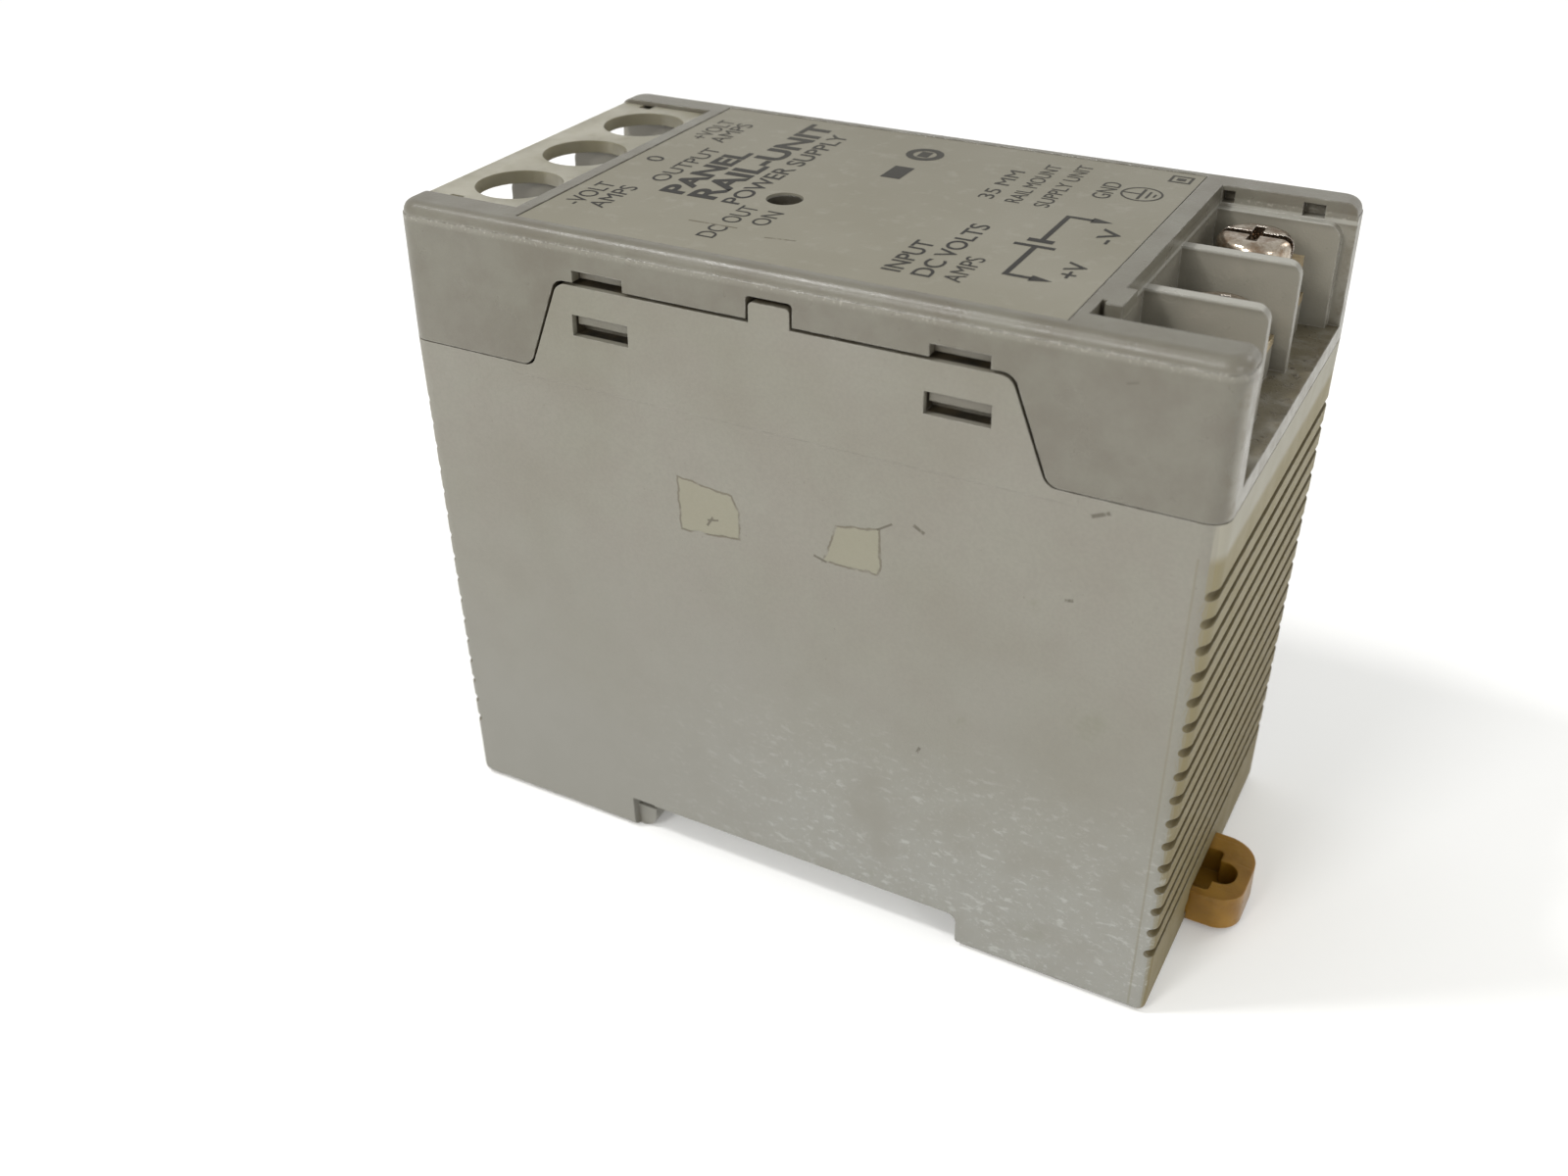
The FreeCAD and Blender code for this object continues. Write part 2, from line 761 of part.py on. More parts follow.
def cover_snaps(body):
    """Wedge snaps on the skirt that catch under the top of the case's windows."""
    side = new_sketch(body, "snap_side", "XZ_Plane", "unit_width/2 - side_wall - seam_gap - 0.5")
    for sign in ("-", ""):
        rectangle(side, sign + "window_place - snap_wide/2", sign + "window_place + snap_wide/2",
                  "snap_low", "snap_top")
    snap = pad(body, "snap", side, "snap_reach + 0.5")
    mirrored(body, "snaps", [snap], "XZ_Plane")


def cover_bays(body, name, wall, sign):
    """The open terminal bays at one end, with partitions and side panels between."""
    edge, end, out = sign + "bay_edge", sign + "partition_end", sign + "unit_length"
    bays = new_sketch(body, name + "_bay_plan", "XY_Plane", "unit_height + 1")
    half = "partition_thick/2"
    rectangle(bays, wall, edge, "-panel_inner", "-bay_pitch/2 - " + half)
    rectangle(bays, wall, edge, half + " - bay_pitch/2", "bay_pitch/2 - " + half)
    rectangle(bays, wall, edge, "bay_pitch/2 + " + half, "panel_inner")
    pocket(body, name + "_bays", bays, "unit_height + 1 - bay_floor")
    ends = new_sketch(body, name + "_end_plan", "XY_Plane", "unit_height + 1")
    rectangle(ends, end, edge, "-panel_inner", "panel_inner")
    pocket(body, name + "_partition_ends", ends, "unit_height + 1 - bay_floor")
    front = new_sketch(body, name + "_front_plan", "XY_Plane", "unit_height + 1")
    rectangle(front, edge, out, "-panel_outer", "panel_outer")
    pocket(body, name + "_bay_front", front, "unit_height + 1 - bay_floor")
    over = new_sketch(body, name + "_over_plan", "XY_Plane", "unit_height + 1")
    rectangle(over, wall, edge, "-panel_inner", "panel_inner")
    pocket(body, name + "_over_partitions", over, "unit_height + 1 - partition_top")
    step = new_sketch(body, name + "_step_plan", "XY_Plane", "unit_height + 1")
    rectangle(step, wall, edge, "-panel_outer", "-panel_inner + 0.2")
    rectangle(step, wall, edge, "panel_inner - 0.2", "panel_outer")
    pocket(body, name + "_panel_steps", step, "unit_height + 1 - panel_top")
    side = -1 if sign else 1
    fillet(body, name + "_partition_rounds", "partition_round",
           [line_box(side * value("partition_end"), value("partition_top")),
            line_box(side * value("bay_edge"), value("panel_top"))])


def cover_catches(body, name, wall, sign):
    """Square holes in the side walls for a terminal cover's pins and snaps."""
    side = new_sketch(body, name + "_catch_side", "XZ_Plane")
    middle = "(%s) + %s pin_catch_place" % (wall, sign)
    rectangle(side, middle + " - pin_catch_size/2", middle + " + pin_catch_size/2",
              "pin_height - pin_catch_size/2", "pin_height + pin_catch_size/2")
    rectangle(side, sign + "snap_catch_start", sign + "snap_catch_end", "snap_catch_low", "snap_catch_top")
    pocket(body, name + "_catches", side, "2*(panel_outer + catch_deep)", both=True)


def cover_pedestals(body, name, place, sign):
    """Seats for the terminal plates, bored for the screws, and slots for their legs."""
    for row, shift in enumerate(("-bay_pitch", "0", "bay_pitch")):
        tag = name + "_" + str(row + 1)
        seat = new_sketch(body, tag + "_seat_plan", "XY_Plane", "bay_floor - 0.5")
        rectangle(seat, "%s %s pedestal_inner" % (place, "-" if sign == "" else "+"),
                  "%s %s pedestal_outer" % (place, "+" if sign == "" else "-"),
                  shift + " - pedestal_half", shift + " + pedestal_half")
        pad(body, tag + "_seat", seat, "pedestal_top - bay_floor + 0.5")
        bore = new_sketch(body, tag + "_bore_plan", "XY_Plane", "pedestal_top + 1")
        circle(bore, place, shift, "collar_hole_radius")
        pocket(body, tag + "_bore", bore, "pedestal_top + 1 - bore_floor")
        leg = new_sketch(body, tag + "_leg_plan", "XY_Plane", "bay_floor + 1")
        inner = "%s %s plate_inner" % (place, "-" if sign == "" else "+")
        rectangle(leg, "%s - leg_play %s" % (inner, "- plate_thick" if sign else ""),
                  "%s + leg_play %s" % (inner, "" if sign else "+ plate_thick"),
                  shift + " - leg_half - leg_play", shift + " + leg_half + leg_play")
        pocket(body, tag + "_leg_slot", leg, "bay_floor + 2 - case_top")


def cover_face(body):
    """The shallow recess for the label, the lamp hole, and the nib by the input bays."""
    recess = new_sketch(body, "label_plan", "XY_Plane", "unit_height + 1")
    rectangle(recess, "label_left", "label_right", "-label_half", "label_half")
    pocket(body, "label_recess", recess, "label_recess + 1")
    lamp = new_sketch(body, "lamp_plan", "XY_Plane", "unit_height + 1")
    circle(lamp, "lamp_x", "lamp_y", "lamp_hole_radius")
    pocket(body, "lamp_hole", lamp, "front_plate + 2")
    hinge = new_sketch(body, "hinge_pocket_plan", "XY_Plane", "unit_height + 1")
    rectangle(hinge, "bay_wall_input - nib_pocket_deep", "bay_wall_input + 0.2",
              "nib_pocket_start", "nib_pocket_end")
    pocket(body, "hinge_pocket", hinge, "unit_height + 1 - nib_pocket_low")
    nib = new_sketch(body, "nib_plan", "XY_Plane", "nib_low")
    rectangle(nib, "bay_wall_input - 0.5", "bay_wall_input + nib_reach", "nib_start", "nib_end")
    pad(body, "nib", nib, "unit_height - nib_low")


def make_front_cover():
    body = new_body("front_cover")
    cover_block(body)
    cover_tongue_notches(body)
    cover_pry_notches(body)
    cover_hollow(body)
    cover_snaps(body)
    cover_bays(body, "input", "bay_wall_input", "")
    cover_bays(body, "output", "-bay_wall_output", "-")
    cover_catches(body, "input", "bay_wall_input", "")
    cover_catches(body, "output", "-bay_wall_output", "-")
    cover_pedestals(body, "input", "screw_input", "")
    cover_pedestals(body, "output", "screw_output", "-")
    cover_face(body)
    return finish(body)


# ---- moulded moving parts ----------------------------------------------------------

def make_rail_latch():
    """The sliding latch: nose under the rail, side flanges, stop slot and pull tab."""
    body = new_body("rail_latch")
    near, far = "latch_place - latch_wide/2", "latch_place + latch_wide/2"
    shoulder = "rail_offset + rail_slot/2 + latch_play"
    plan = new_sketch(body, "latch_plan", "XY_Plane", "latch_low")
    rectangle(plan, shoulder, "latch_tip", near, far)
    round_corners(plan, "latch_near_round", (1,))
    round_corners(plan, "latch_far_round", (2,))
    pad(body, "latch_bar", plan, "latch_top - latch_low")
    side = new_sketch(body, "nose_side", "XZ_Plane", "-latch_place")
    nose = "rail_offset + rail_slot/2 - latch_reach"
    outline(side, [(nose + " + 1.2", "latch_low"), (shoulder + " + 1", "latch_low"),
                   (shoulder + " + 1", "nose_top"), (nose, "nose_top"), (nose, "nose_top - 0.6")])
    pad(body, "nose", side, "latch_wide", both=True)
    flange = new_sketch(body, "latch_flange_plan", "XY_Plane", "flange_low")
    rectangle(flange, "flange_start", "flange_end", near + " - flange_wide + latch_play",
              far + " + flange_wide - latch_play")
    pad(body, "latch_flanges", flange, "flange_top - flange_low")
    holes = new_sketch(body, "latch_hole_plan", "XY_Plane", "latch_top + 1")
    rectangle(holes, "stop_slot_start", "stop_slot_end", "latch_place - stop_slot_wide/2",
              "latch_place + stop_slot_wide/2")
    pocket(body, "stop_slot", holes, "latch_top + 2")
    driver = new_sketch(body, "driver_slot_plan", "XY_Plane", "latch_top + 1")
    rectangle(driver, "driver_slot_start", "driver_slot_end", near + " + driver_slot_near",
              near + " + driver_slot_near + driver_slot_wide")
    round_corners(driver, "driver_slot_round", (0, 1, 2, 3))
    pocket(body, "driver_slot", driver, "driver_slot_deep + 1")
    lobe = new_sketch(body, "driver_lobe_plan", "XY_Plane", "latch_top + 1")
    middle = near + " + driver_slot_near + driver_slot_wide/2"
    rectangle(lobe, "driver_slot_end - 1", "driver_lobe_end", middle + " - driver_lobe_wide/2",
              middle + " + driver_lobe_wide/2")
    round_corners(lobe, "driver_lobe_wide/2 - 0.2", (1, 2))
    pocket(body, "driver_lobe", lobe, "driver_slot_deep + 1")
    return finish(body)


def make_output_cover():
    """The hinged cover over the output screws, with screwdriver holes and two pins."""
    body = new_body("output_terminal_cover")
    side = new_sketch(body, "lid_side", "XZ_Plane")
    hinge_side = "(-bay_wall_output) - lid_wall_gap"
    outline(side, [("-lid_end", "lid_top - lid_thick"), (hinge_side, "lid_top - lid_thick"),
                   (hinge_side, "lid_top"), ("-lid_end", "lid_top")])
    round_corners(side, "lid_thick/2 - 0.01", (1, 2))
    pad(body, "lid", side, "2*lid_half", both=True)
    pins = new_sketch(body, "lid_pin_side", "XZ_Plane")
    circle(pins, "-(bay_wall_output + pin_catch_place)", "lid_top - lid_thick/2", "lid_pin_radius")
    pad(body, "lid_pins", pins, "2*(lid_half + lid_pin_long)", both=True)
    plan = new_sketch(body, "lid_hole_plan", "XY_Plane", "lid_top + 1")
    for shift in ("-bay_pitch", "0", "bay_pitch"):
        circle(plan, "screw_output", shift, "lid_hole_radius")
    pocket(body, "lid_holes", plan, "lid_thick + 2")
    notches = new_sketch(body, "lid_notch_plan", "XY_Plane", "lid_top + 1")
    for low, high in (("-lid_half - 1", "lid_notch_deep - lid_half"),
                      ("lid_half - lid_notch_deep", "lid_half + 1")):
        rectangle(notches, "-lid_notch_place - lid_notch_long/2", "lid_notch_long/2 - lid_notch_place",
                  low, high)
    pocket(body, "lid_notches", notches, "lid_thick + 2")
    return finish(body)


# ---- screw terminals ---------------------------------------------------------------

ENDS = (("input", "screw_input", ""), ("output", "screw_output", "-"))
ROWS = (("1", "-bay_pitch"), ("2", "0"), ("3", "bay_pitch"))
LOOSE = "input_3"  # this terminal's screw is turned out a few turns, the others are tight


def make_terminal_screw(name, place, shift, lift):
    """A pan-head screw with a slot and a cross, turned from one profile."""
    body = new_body(name)
    seat = "pedestal_top + plate_thick + washer_thick + " + lift
    side = new_sketch(body, name + "_profile", "XZ_Plane", "0 - (%s)" % shift)
    outline(side, [
        (place, seat + " - shank_long"),
        (place + " + shank_radius - shank_chamfer", seat + " - shank_long"),
        (place + " + shank_radius", seat + " - shank_long + shank_chamfer"),
        (place + " + shank_radius", seat),
        (place + " + head_radius", seat),
        (place + " + head_radius", seat + " + head_thick"),
        (place, seat + " + head_thick"),
    ])
    round_corners(side, "head_round", (5,))
    axis = side.addGeometry(Part.LineSegment(Vector(value(place), 0, 0), Vector(value(place), 9, 0)), True)
    hold(side, "DistanceX", axis, 1, place)
    hold(side, "DistanceX", axis, 2, place)
    turned = body.newObject("PartDesign::Revolution", name + "_turned")
    turned.Profile = side
    turned.ReferenceAxis = (side, ["Axis0"])
    turned.Angle = 360.0
    settled(turned)
    drive = new_sketch(body, name + "_slot_plan", "XY_Plane", seat + " + head_thick + 1")
    rectangle(drive, place + " - head_radius - 1", place + " + head_radius + 1",
              shift + " - slot_wide/2", shift + " + slot_wide/2")
    pocket(body, name + "_slot", drive, "drive_deep + 1")
    cross = new_sketch(body, name + "_cross_plan", "XY_Plane", seat + " + head_thick + 1")
    rectangle(cross, place + " - cross_wide/2", place + " + cross_wide/2",
              shift + " - cross_long/2", shift + " + cross_long/2")
    pocket(body, name + "_cross", cross, "drive_deep + 1")
    return finish(body)


def make_terminal_washer(name, place, shift, lift):
    low = "pedestal_top + plate_thick + " + lift
    square = box(name + "_square", place + " - washer_size/2", place + " + washer_size/2",
                 shift + " - washer_size/2", shift + " + washer_size/2", low, low + " + washer_thick")
    hole = cylinder(name + "_hole", "washer_hole_radius", "washer_thick + 2", place, shift, low + " - 1")
    return piece(name, [cut(name + "_cut", square, [hole])])


def make_terminal_plates(name, place, sign):
    """Three bent brass plates: a threaded seat with a collar, and a leg to the board."""
    plates = []
    inward = "-" if sign == "" else "+"
    outward = "+" if sign == "" else "-"
    for row, shift in ROWS:
        tag = name + "_" + row
        inner = "%s %s plate_inner" % (place, inward)
        outer = "%s %s plate_outer" % (place, outward)
        leg_side = "%s %s plate_thick" % (inner, outward)
        left, right = (inner, outer) if sign == "" else (outer, inner)
        leg_left, leg_right = (inner, leg_side) if sign == "" else (leg_side, inner)
        top = "pedestal_top + plate_thick"
        seat = box(tag + "_seat", left, right, shift + " - plate_half", shift + " + plate_half",
                   "pedestal_top", top)
        leg = box(tag + "_leg", leg_left, leg_right, shift + " - leg_half", shift + " + leg_half",
                  "leg_low", top)
        collar = cylinder(tag + "_collar", "collar_radius", "collar_long", place, shift,
                          "pedestal_top - collar_long")
        thread = cylinder(tag + "_thread", "thread_hole_radius", "collar_long + 3", place, shift,
                          "pedestal_top - collar_long - 1")
        plates.append(cut(tag, fuse(tag + "_blank", [seat, leg, collar]), [thread]))
    return piece(name, plates)


def make_terminals():
    for end, place, sign in ENDS:
        make_terminal_plates(end + "_terminal_plates", place, sign)
        for row, shift in ROWS:
            lift = "screw_raise" if end + "_" + row == LOOSE else "0"
            make_terminal_washer("%s_washer_%s" % (end, row), place, shift, lift)
            make_terminal_screw("%s_screw_%s" % (end, row), place, shift, lift)


# ---- label, lamp and boards --------------------------------------------------------

def make_label():
    low = "unit_height - label_recess"
    sheet_body = box("label_sheet", "label_left + label_gap", "label_right - label_gap",
                     "-(label_half - label_gap)", "label_half - label_gap", low, low + " + label_thick")
    hole = cylinder("label_lamp_hole", "lamp_hole_radius", "1", "lamp_x", "lamp_y", low + " - 0.5")
    return piece("front_label", [cut("label_cut", sheet_body, [hole])])


def make_status_lamp():
    """A small light-emitting diode that stands on its leads behind the lamp hole."""
    barrel = cylinder("lamp_barrel", "lamp_radius", "lamp_dome_base - lamp_base", "lamp_x", "lamp_y",
                      "lamp_base")
    rim = cylinder("lamp_rim", "lamp_rim_radius", "0.8", "lamp_x", "lamp_y", "lamp_base")
    dome = doc.addObject("Part::Sphere", "lamp_dome")
    bind(dome, Radius="lamp_radius", Placement__Base__x="lamp_x", Placement__Base__y="lamp_y",
         Placement__Base__z="lamp_dome_base")
    leads = [box("lamp_lead_%d" % i, side + " - lamp_lead/2", side + " + lamp_lead/2",
                 "lamp_y - lamp_lead/2", "lamp_y + lamp_lead/2", "leg_low", "lamp_base + 0.2")
             for i, side in enumerate(("lamp_x - lamp_lead_gap/2", "lamp_x + lamp_lead_gap/2"))]
    return piece("status_led", [fuse("lamp_body", [barrel, rim, dome] + leads)])


def leg_holes():
    """Slots in the front board for the six terminal legs and the lamp's leads."""
    low, high = "front_board_low - 1", "front_board_low + board_thick + 1"
    holes = []
    for end, place, sign in ENDS:
        inner = "%s %s plate_inner" % (place, "-" if sign == "" else "+")
        thick = ("0", "plate_thick") if sign == "" else ("-plate_thick", "0")
        for row, shift in ROWS:
            holes.append(box("board_%s_slot_%s" % (end, row),
                             "%s + %s - board_play" % (inner, thick[0]),
                             "%s + %s + board_play" % (inner, thick[1]),
                             shift + " - leg_half - board_play", shift + " + leg_half + board_play",
                             low, high))
    for i, side in enumerate(("lamp_x - lamp_lead_gap/2", "lamp_x + lamp_lead_gap/2")):
        holes.append(cylinder("board_lamp_hole_%d" % i, "lamp_lead", "board_thick + 2", side, "lamp_y", low))
    return holes


def header_places():
    return ["(%d - (header_count - 1)/2)*header_pitch" % i for i in range(int(value("header_count")))]


def make_boards():
    front = box("front_board_sheet", "-front_board_half_long", "front_board_half_long",
                "-front_board_half_wide", "front_board_half_wide", "front_board_low",
                "front_board_low + board_thick")
    header_y = "main_board_face + header_wide/2"
    pin_holes = [cylinder("board_pin_hole_%d" % i, "header_pin*0.8", "board_thick + 2", place, header_y,
                          "front_board_low - 1") for i, place in enumerate(header_places())]
    piece("front_board", [cut("front_board_cut", front, leg_holes() + pin_holes)])
    main = box("main_board_sheet", "-main_board_half", "main_board_half",
               "main_board_face - board_thick", "main_board_face", "main_board_low", "main_board_top")
    piece("main_board", [main])
    back = "side_wall - unit_width/2 + board_play"
    insulator = box("insulator", "-main_board_half", "main_board_half", back, back + " + sheet_thick",
                    "main_board_low", "main_board_top")
    piece("insulation_sheet", [insulator])


def make_header():
    """The pin strip that joins the main board to the front board."""
    low = "main_board_top - header_high"
    strip = box("header_block", "-header_half", "header_half", "main_board_face",
                "main_board_face + header_wide", low, "main_board_top")
    middle = "main_board_face + header_wide/2"
    holes, pins = [], []
    for i, place in enumerate(header_places()):
        ends = (place + " - header_pin/2", place + " + header_pin/2", middle + " - header_pin/2",
                middle + " + header_pin/2")
        holes.append(box("header_hole_%d" % i, *ends, low + " - 1", "main_board_top + 1"))
        pins.append(box("header_pin_%d" % i, *ends, low + " - 0.5", "front_board_low + board_thick + 0.8"))
    piece("header_strip", [cut("header_strip_cut", strip, holes)])
    piece("header_pins", pins)


# ---- parts on the main board -------------------------------------------------------

def make_transformer():
    """A pair of E cores, the bobbin around their middle leg, and the winding on it."""
    left, right = "core_x - core_long/2", "core_x + core_long/2"
    near, far = "core_y - core_deep/2", "core_y + core_deep/2"
    low, high = "core_z - core_high/2", "core_z + core_high/2"
    window_starts = (("left", "core_x - core_leg/2 - core_window"), ("right", "core_x + core_leg/2"))
    halves = []
    for tag, bottom, top in (("lower", low, "core_z - core_gap/2"), ("upper", "core_z + core_gap/2", high)):
        block = box("core_%s_block" % tag, left, right, near, far, bottom, top)
        windows = [box("core_%s_window_%s" % (tag, side), start, start + " + core_window",
                       near + " - 1", far + " + 1", "core_z - core_high/2 + core_yoke",
                       "core_z + core_high/2 - core_yoke")
                   for side, start in window_starts]
        halves.append(cut("core_%s" % tag, block, windows))
    piece("transformer_core", halves)

    def ring(name, inner, outer, bottom, top):
        """A rectangular ring around the middle leg, given its play at each side."""
        def around(play):
            return ("core_x - core_leg/2 - (%s)" % play, "core_x + core_leg/2 + (%s)" % play,
                    "core_y - core_deep/2 - (%s)" % play, "core_y + core_deep/2 + (%s)" % play)

        solid = box(name + "_outside", *around(outer), bottom, top)
        hole = box(name + "_inside", *around(inner), bottom + " - 1", top + " + 1")
        return cut(name, solid, [hole])

    floor, roof = low + " + core_yoke + bobbin_play", high + " - core_yoke - bobbin_play"
    rim = "winding_out + bobbin_wall"
    flanges = [ring("bobbin_foot", "bobbin_play", rim, floor, floor + " + bobbin_wall"),
               ring("bobbin_head", "bobbin_play", rim, roof + " - bobbin_wall", roof)]
    tube = ring("bobbin_tube", "bobbin_play", "bobbin_play + bobbin_wall", floor, roof)
    pins = [cylinder("bobbin_pin_%d_%d" % (row, i), "bobbin_pin_radius", "2",
                     "core_x + %d*pin_step" % (i - 1), "main_board_face", place, "y")
            for row, place in enumerate((floor + " + bobbin_wall/2", roof + " - bobbin_wall/2"))
            for i in range(3)]
    piece("transformer_bobbin", [fuse("bobbin_body", flanges + [tube] + pins)])
    piece("transformer_winding", [ring("winding_body", "bobbin_play + bobbin_wall + 0.05", "winding_out",
                                       floor + " + bobbin_wall + 0.05", roof + " - bobbin_wall - 0.05")])


def make_can_capacitors(name, count, x, z, step, radius, high):
    """A column of upright electrolytic cans with a crimp groove and a vented top."""
    cans = []
    for i in range(count):
        place = "%s + %d*%s" % (z, i, step)
        can = cylinder("%s_can_%d" % (name, i), radius, high, x, "main_board_face", place, "y")
        groove = doc.addObject("Part::Torus", "%s_groove_%d" % (name, i))
        groove.Placement = Placement(Vector(), ALONG["y"])
        bind(groove, Radius1=radius + " + 0.2", Radius2="0.5", Placement__Base__x=x,
             Placement__Base__y="main_board_face + 1.8", Placement__Base__z=place)
        vents = [box("%s_vent_%d_a" % (name, i), x + " - 0.7*(%s)" % radius, x + " + 0.7*(%s)" % radius,
                     "main_board_face + %s - 0.2" % high, "main_board_face + %s + 1" % high,
                     place + " - 0.1", place + " + 0.1"),
                 box("%s_vent_%d_b" % (name, i), x + " - 0.1", x + " + 0.1",
                     "main_board_face + %s - 0.2" % high, "main_board_face + %s + 1" % high,
                     place + " - 0.7*(%s)" % radius, place + " + 0.7*(%s)" % radius)]
        cans.append(cut("%s_cut_%d" % (name, i), can, [groove] + vents))
    piece(name, cans)


def make_chokes():
    """Two ring cores standing edge to edge on the board, each under its layer of wire."""
    cores, coils = [], []
    low = "main_board_face + choke_lift"
    for i in range(2):
        z = "choke_z + %d*choke_step" % i

        def ring(name, outer, inner, bottom, high):
            solid = cylinder(name + "_outside", outer, high, "choke_x", bottom, z, "y")
            hole = cylinder(name + "_hole", inner, high + " + 2", "choke_x", bottom + " - 1", z, "y")
            return cut(name, solid, [hole])

        cores.append(ring("choke_core_%d" % i, "choke_radius", "choke_hole", low, "choke_high"))
        hollow = ring("choke_hollow_%d" % i, "choke_radius + wire_gap", "choke_hole - wire_gap",
                      low + " - wire_gap", "choke_high + 2*wire_gap")
        sleeve = ring("choke_sleeve_%d" % i, "choke_radius + wire_layer", "choke_hole - wire_layer",
                      low + " - wire_layer", "choke_high + 2*wire_layer")
        opening = box("choke_opening_%d" % i, "choke_x - choke_radius - 1", "choke_x",
                      low + " - 1", low + " + choke_high + 1", z + " - choke_open", z + " + choke_open")
        coils.append(cut("choke_coil_%d" % i, sleeve, [hollow, opening]))
    piece("choke_cores", cores)
    piece("choke_windings", coils)


def make_heat_sink():
    """An aluminium plate with a foot, the transistor bolted to it, and the bolt."""
    left, right = "sink_x", "sink_x + sink_thick"
    near, far = "main_board_face + 0.2", "main_board_face + 0.2 + sink_deep"
    upright = box("sink_plate", left, right, near, far, "sink_low", "sink_top")
    foot = box("sink_foot_plate", left, right + " + sink_foot", near, near + " + sink_thick",
               "sink_low", "sink_top")
    bolt_y = "main_board_face + transistor_lift + transistor_high + transistor_tab/2"
    bolt_hole = cylinder("sink_bolt_hole", "sink_screw_hole", "sink_thick + 2", left + " - 1", bolt_y,
                         "transistor_z", "x")
    fins = [box("sink_fin_%d" % i, right + " - 0.1", right + " + 1.6", near + " + 14 + 2.4*%d" % i,
                near + " + 15 + 2.4*%d" % i, "sink_low + 12", "sink_top") for i in range(3)]
    piece("heat_sink", [cut("sink_cut", fuse("sink_blank", [upright, foot] + fins), [bolt_hole])])
    face = "sink_x - 0.05"
    body_far = "main_board_face + transistor_lift + transistor_high"
    mould = box("transistor_mould", face + " - transistor_thick - transistor_tab_thick", face,
                "main_board_face + transistor_lift", body_far,
                "transistor_z - transistor_wide/2", "transistor_z + transistor_wide/2")
    tab = box("transistor_tab_plate", face + " - transistor_tab_thick", face, body_far + " - 0.1",
              body_far + " + transistor_tab",
              "transistor_z - transistor_wide/2", "transistor_z + transistor_wide/2")
    tab_hole = cylinder("transistor_tab_hole", "sink_screw_hole", "transistor_tab_thick + 2",
                        face + " - transistor_tab_thick - 1", bolt_y, "transistor_z", "x")
    leads = [box("transistor_lead_%d" % i,
                 face + " - transistor_tab_thick - 1.2", face + " - transistor_tab_thick - 0.7",
                 "main_board_face", "main_board_face + transistor_lift + 0.1",
                 "transistor_z + %s*header_pitch - 0.4" % shift,
                 "transistor_z + %s*header_pitch + 0.4" % shift)
             for i, shift in enumerate(("(-1)", "0", "1"))]
    blank = fuse("transistor_blank", [mould, tab] + leads)
    piece("switching_transistor", [cut("transistor_cut", blank, [tab_hole])])
    head = cylinder("bolt_head", "sink_screw_head", "2", face + " - transistor_tab_thick - 2.05", bolt_y,
                    "transistor_z", "x")
    shank = cylinder("bolt_shank", "sink_screw_radius", "transistor_tab_thick + sink_thick + 2.5",
                     face + " - transistor_tab_thick - 0.1", bolt_y, "transistor_z", "x")
    nut = cylinder("bolt_nut", "sink_screw_head", "2", right + " + 0.05", bolt_y, "transistor_z", "x")
    piece("transistor_bolt", [fuse("bolt_body", [head, shank, nut])])


def lying_parts(name, places, radius, long, lead):
    """Small round parts lying along X just above the board, with two bent leads each."""
    items = []
    for i, (x, z) in enumerate(places):
        lift = "main_board_face + 0.2 + " + radius
        barrel = cylinder("%s_barrel_%d" % (name, i), radius, long, x, lift, z, "x")
        solids = [barrel]
        for side, start, down in (("a", x + " - 1.2", x + " - 1.2"),
                                  ("b", x + " + %s - 0.1" % long, x + " + %s + 1.2" % long)):
            solids.append(cylinder("%s_wire_%s_%d" % (name, side, i), lead, "1.3", start, lift, z, "x"))
            solids.append(cylinder("%s_leg_%s_%d" % (name, side, i), lead, "0.2 + " + radius, down,
                                   "main_board_face", z, "y"))
        items.append(fuse("%s_%d" % (name, i), solids))
    piece(name, items)


def make_chip(name, x, z, long, pins):
    """A dual in-line package lying flat on the board."""
    low = "main_board_face + chip_lift"
    block = box(name + "_block", x, "%s + %s" % (x, long), low, low + " + chip_high", z, z + " + chip_wide")
    legs = []
    for i in range(pins):
        start = "%s + %s/2 + (%d - %d/2)*header_pitch + header_pitch/2" % (x, long, i, pins)
        for side, edge in (("a", z + " - 0.5"), ("b", z + " + chip_wide - 0.3")):
            legs.append(box("%s_leg_%s_%d" % (name, side, i),
                            start + " - chip_pin/2", start + " + chip_pin/2",
                            "main_board_face", low + " + chip_high/2", edge, edge + " + 0.8"))
    piece(name, [fuse(name + "_body", [block] + legs)])


def make_small_parts():
    make_can_capacitors("input_capacitors", 2, "bulk_x", "bulk_low_z", "bulk_step",
                        "bulk_radius", "bulk_high")
    make_can_capacitors("output_capacitors", 3, "smoothing_x", "smoothing_z", "smoothing_step",
                        "smoothing_radius", "smoothing_high")
    lying_parts("rectifier_diodes", [("diode_x", "diode_z"), ("diode_x", "diode_z + diode_step")],
                "diode_radius", "diode_long", "diode_lead")
    lying_parts("resistors", [("resistor_left", "resistor_high_z"), ("resistor_middle", "resistor_high_z"),
                              ("resistor_right", "resistor_high_z"), ("resistor_left", "resistor_low_z")],
                "resistor_radius", "resistor_long", "resistor_lead")
    make_chip("control_chip", "chip_x", "chip_z", "chip_long", 4)
    make_chip("optocoupler", "coupler_x", "coupler_z", "coupler_long", 2)
    film = box("film_block", "film_x", "film_x + film_long", "main_board_face",
               "main_board_face + film_high", "film_z", "film_z + film_wide")
    piece("film_capacitor", [film])
    fuse_can = cylinder("fuse_can", "fuse_radius", "fuse_high", "fuse_x", "main_board_face", "fuse_z", "y")
    piece("fuse", [fuse_can])


fill_sheet()
make_case()
make_front_cover()
make_rail_latch()
make_output_cover()
make_terminals()
make_label()
make_status_lamp()
make_boards()
make_header()
make_transformer()
make_chokes()
make_heat_sink()
make_small_parts()


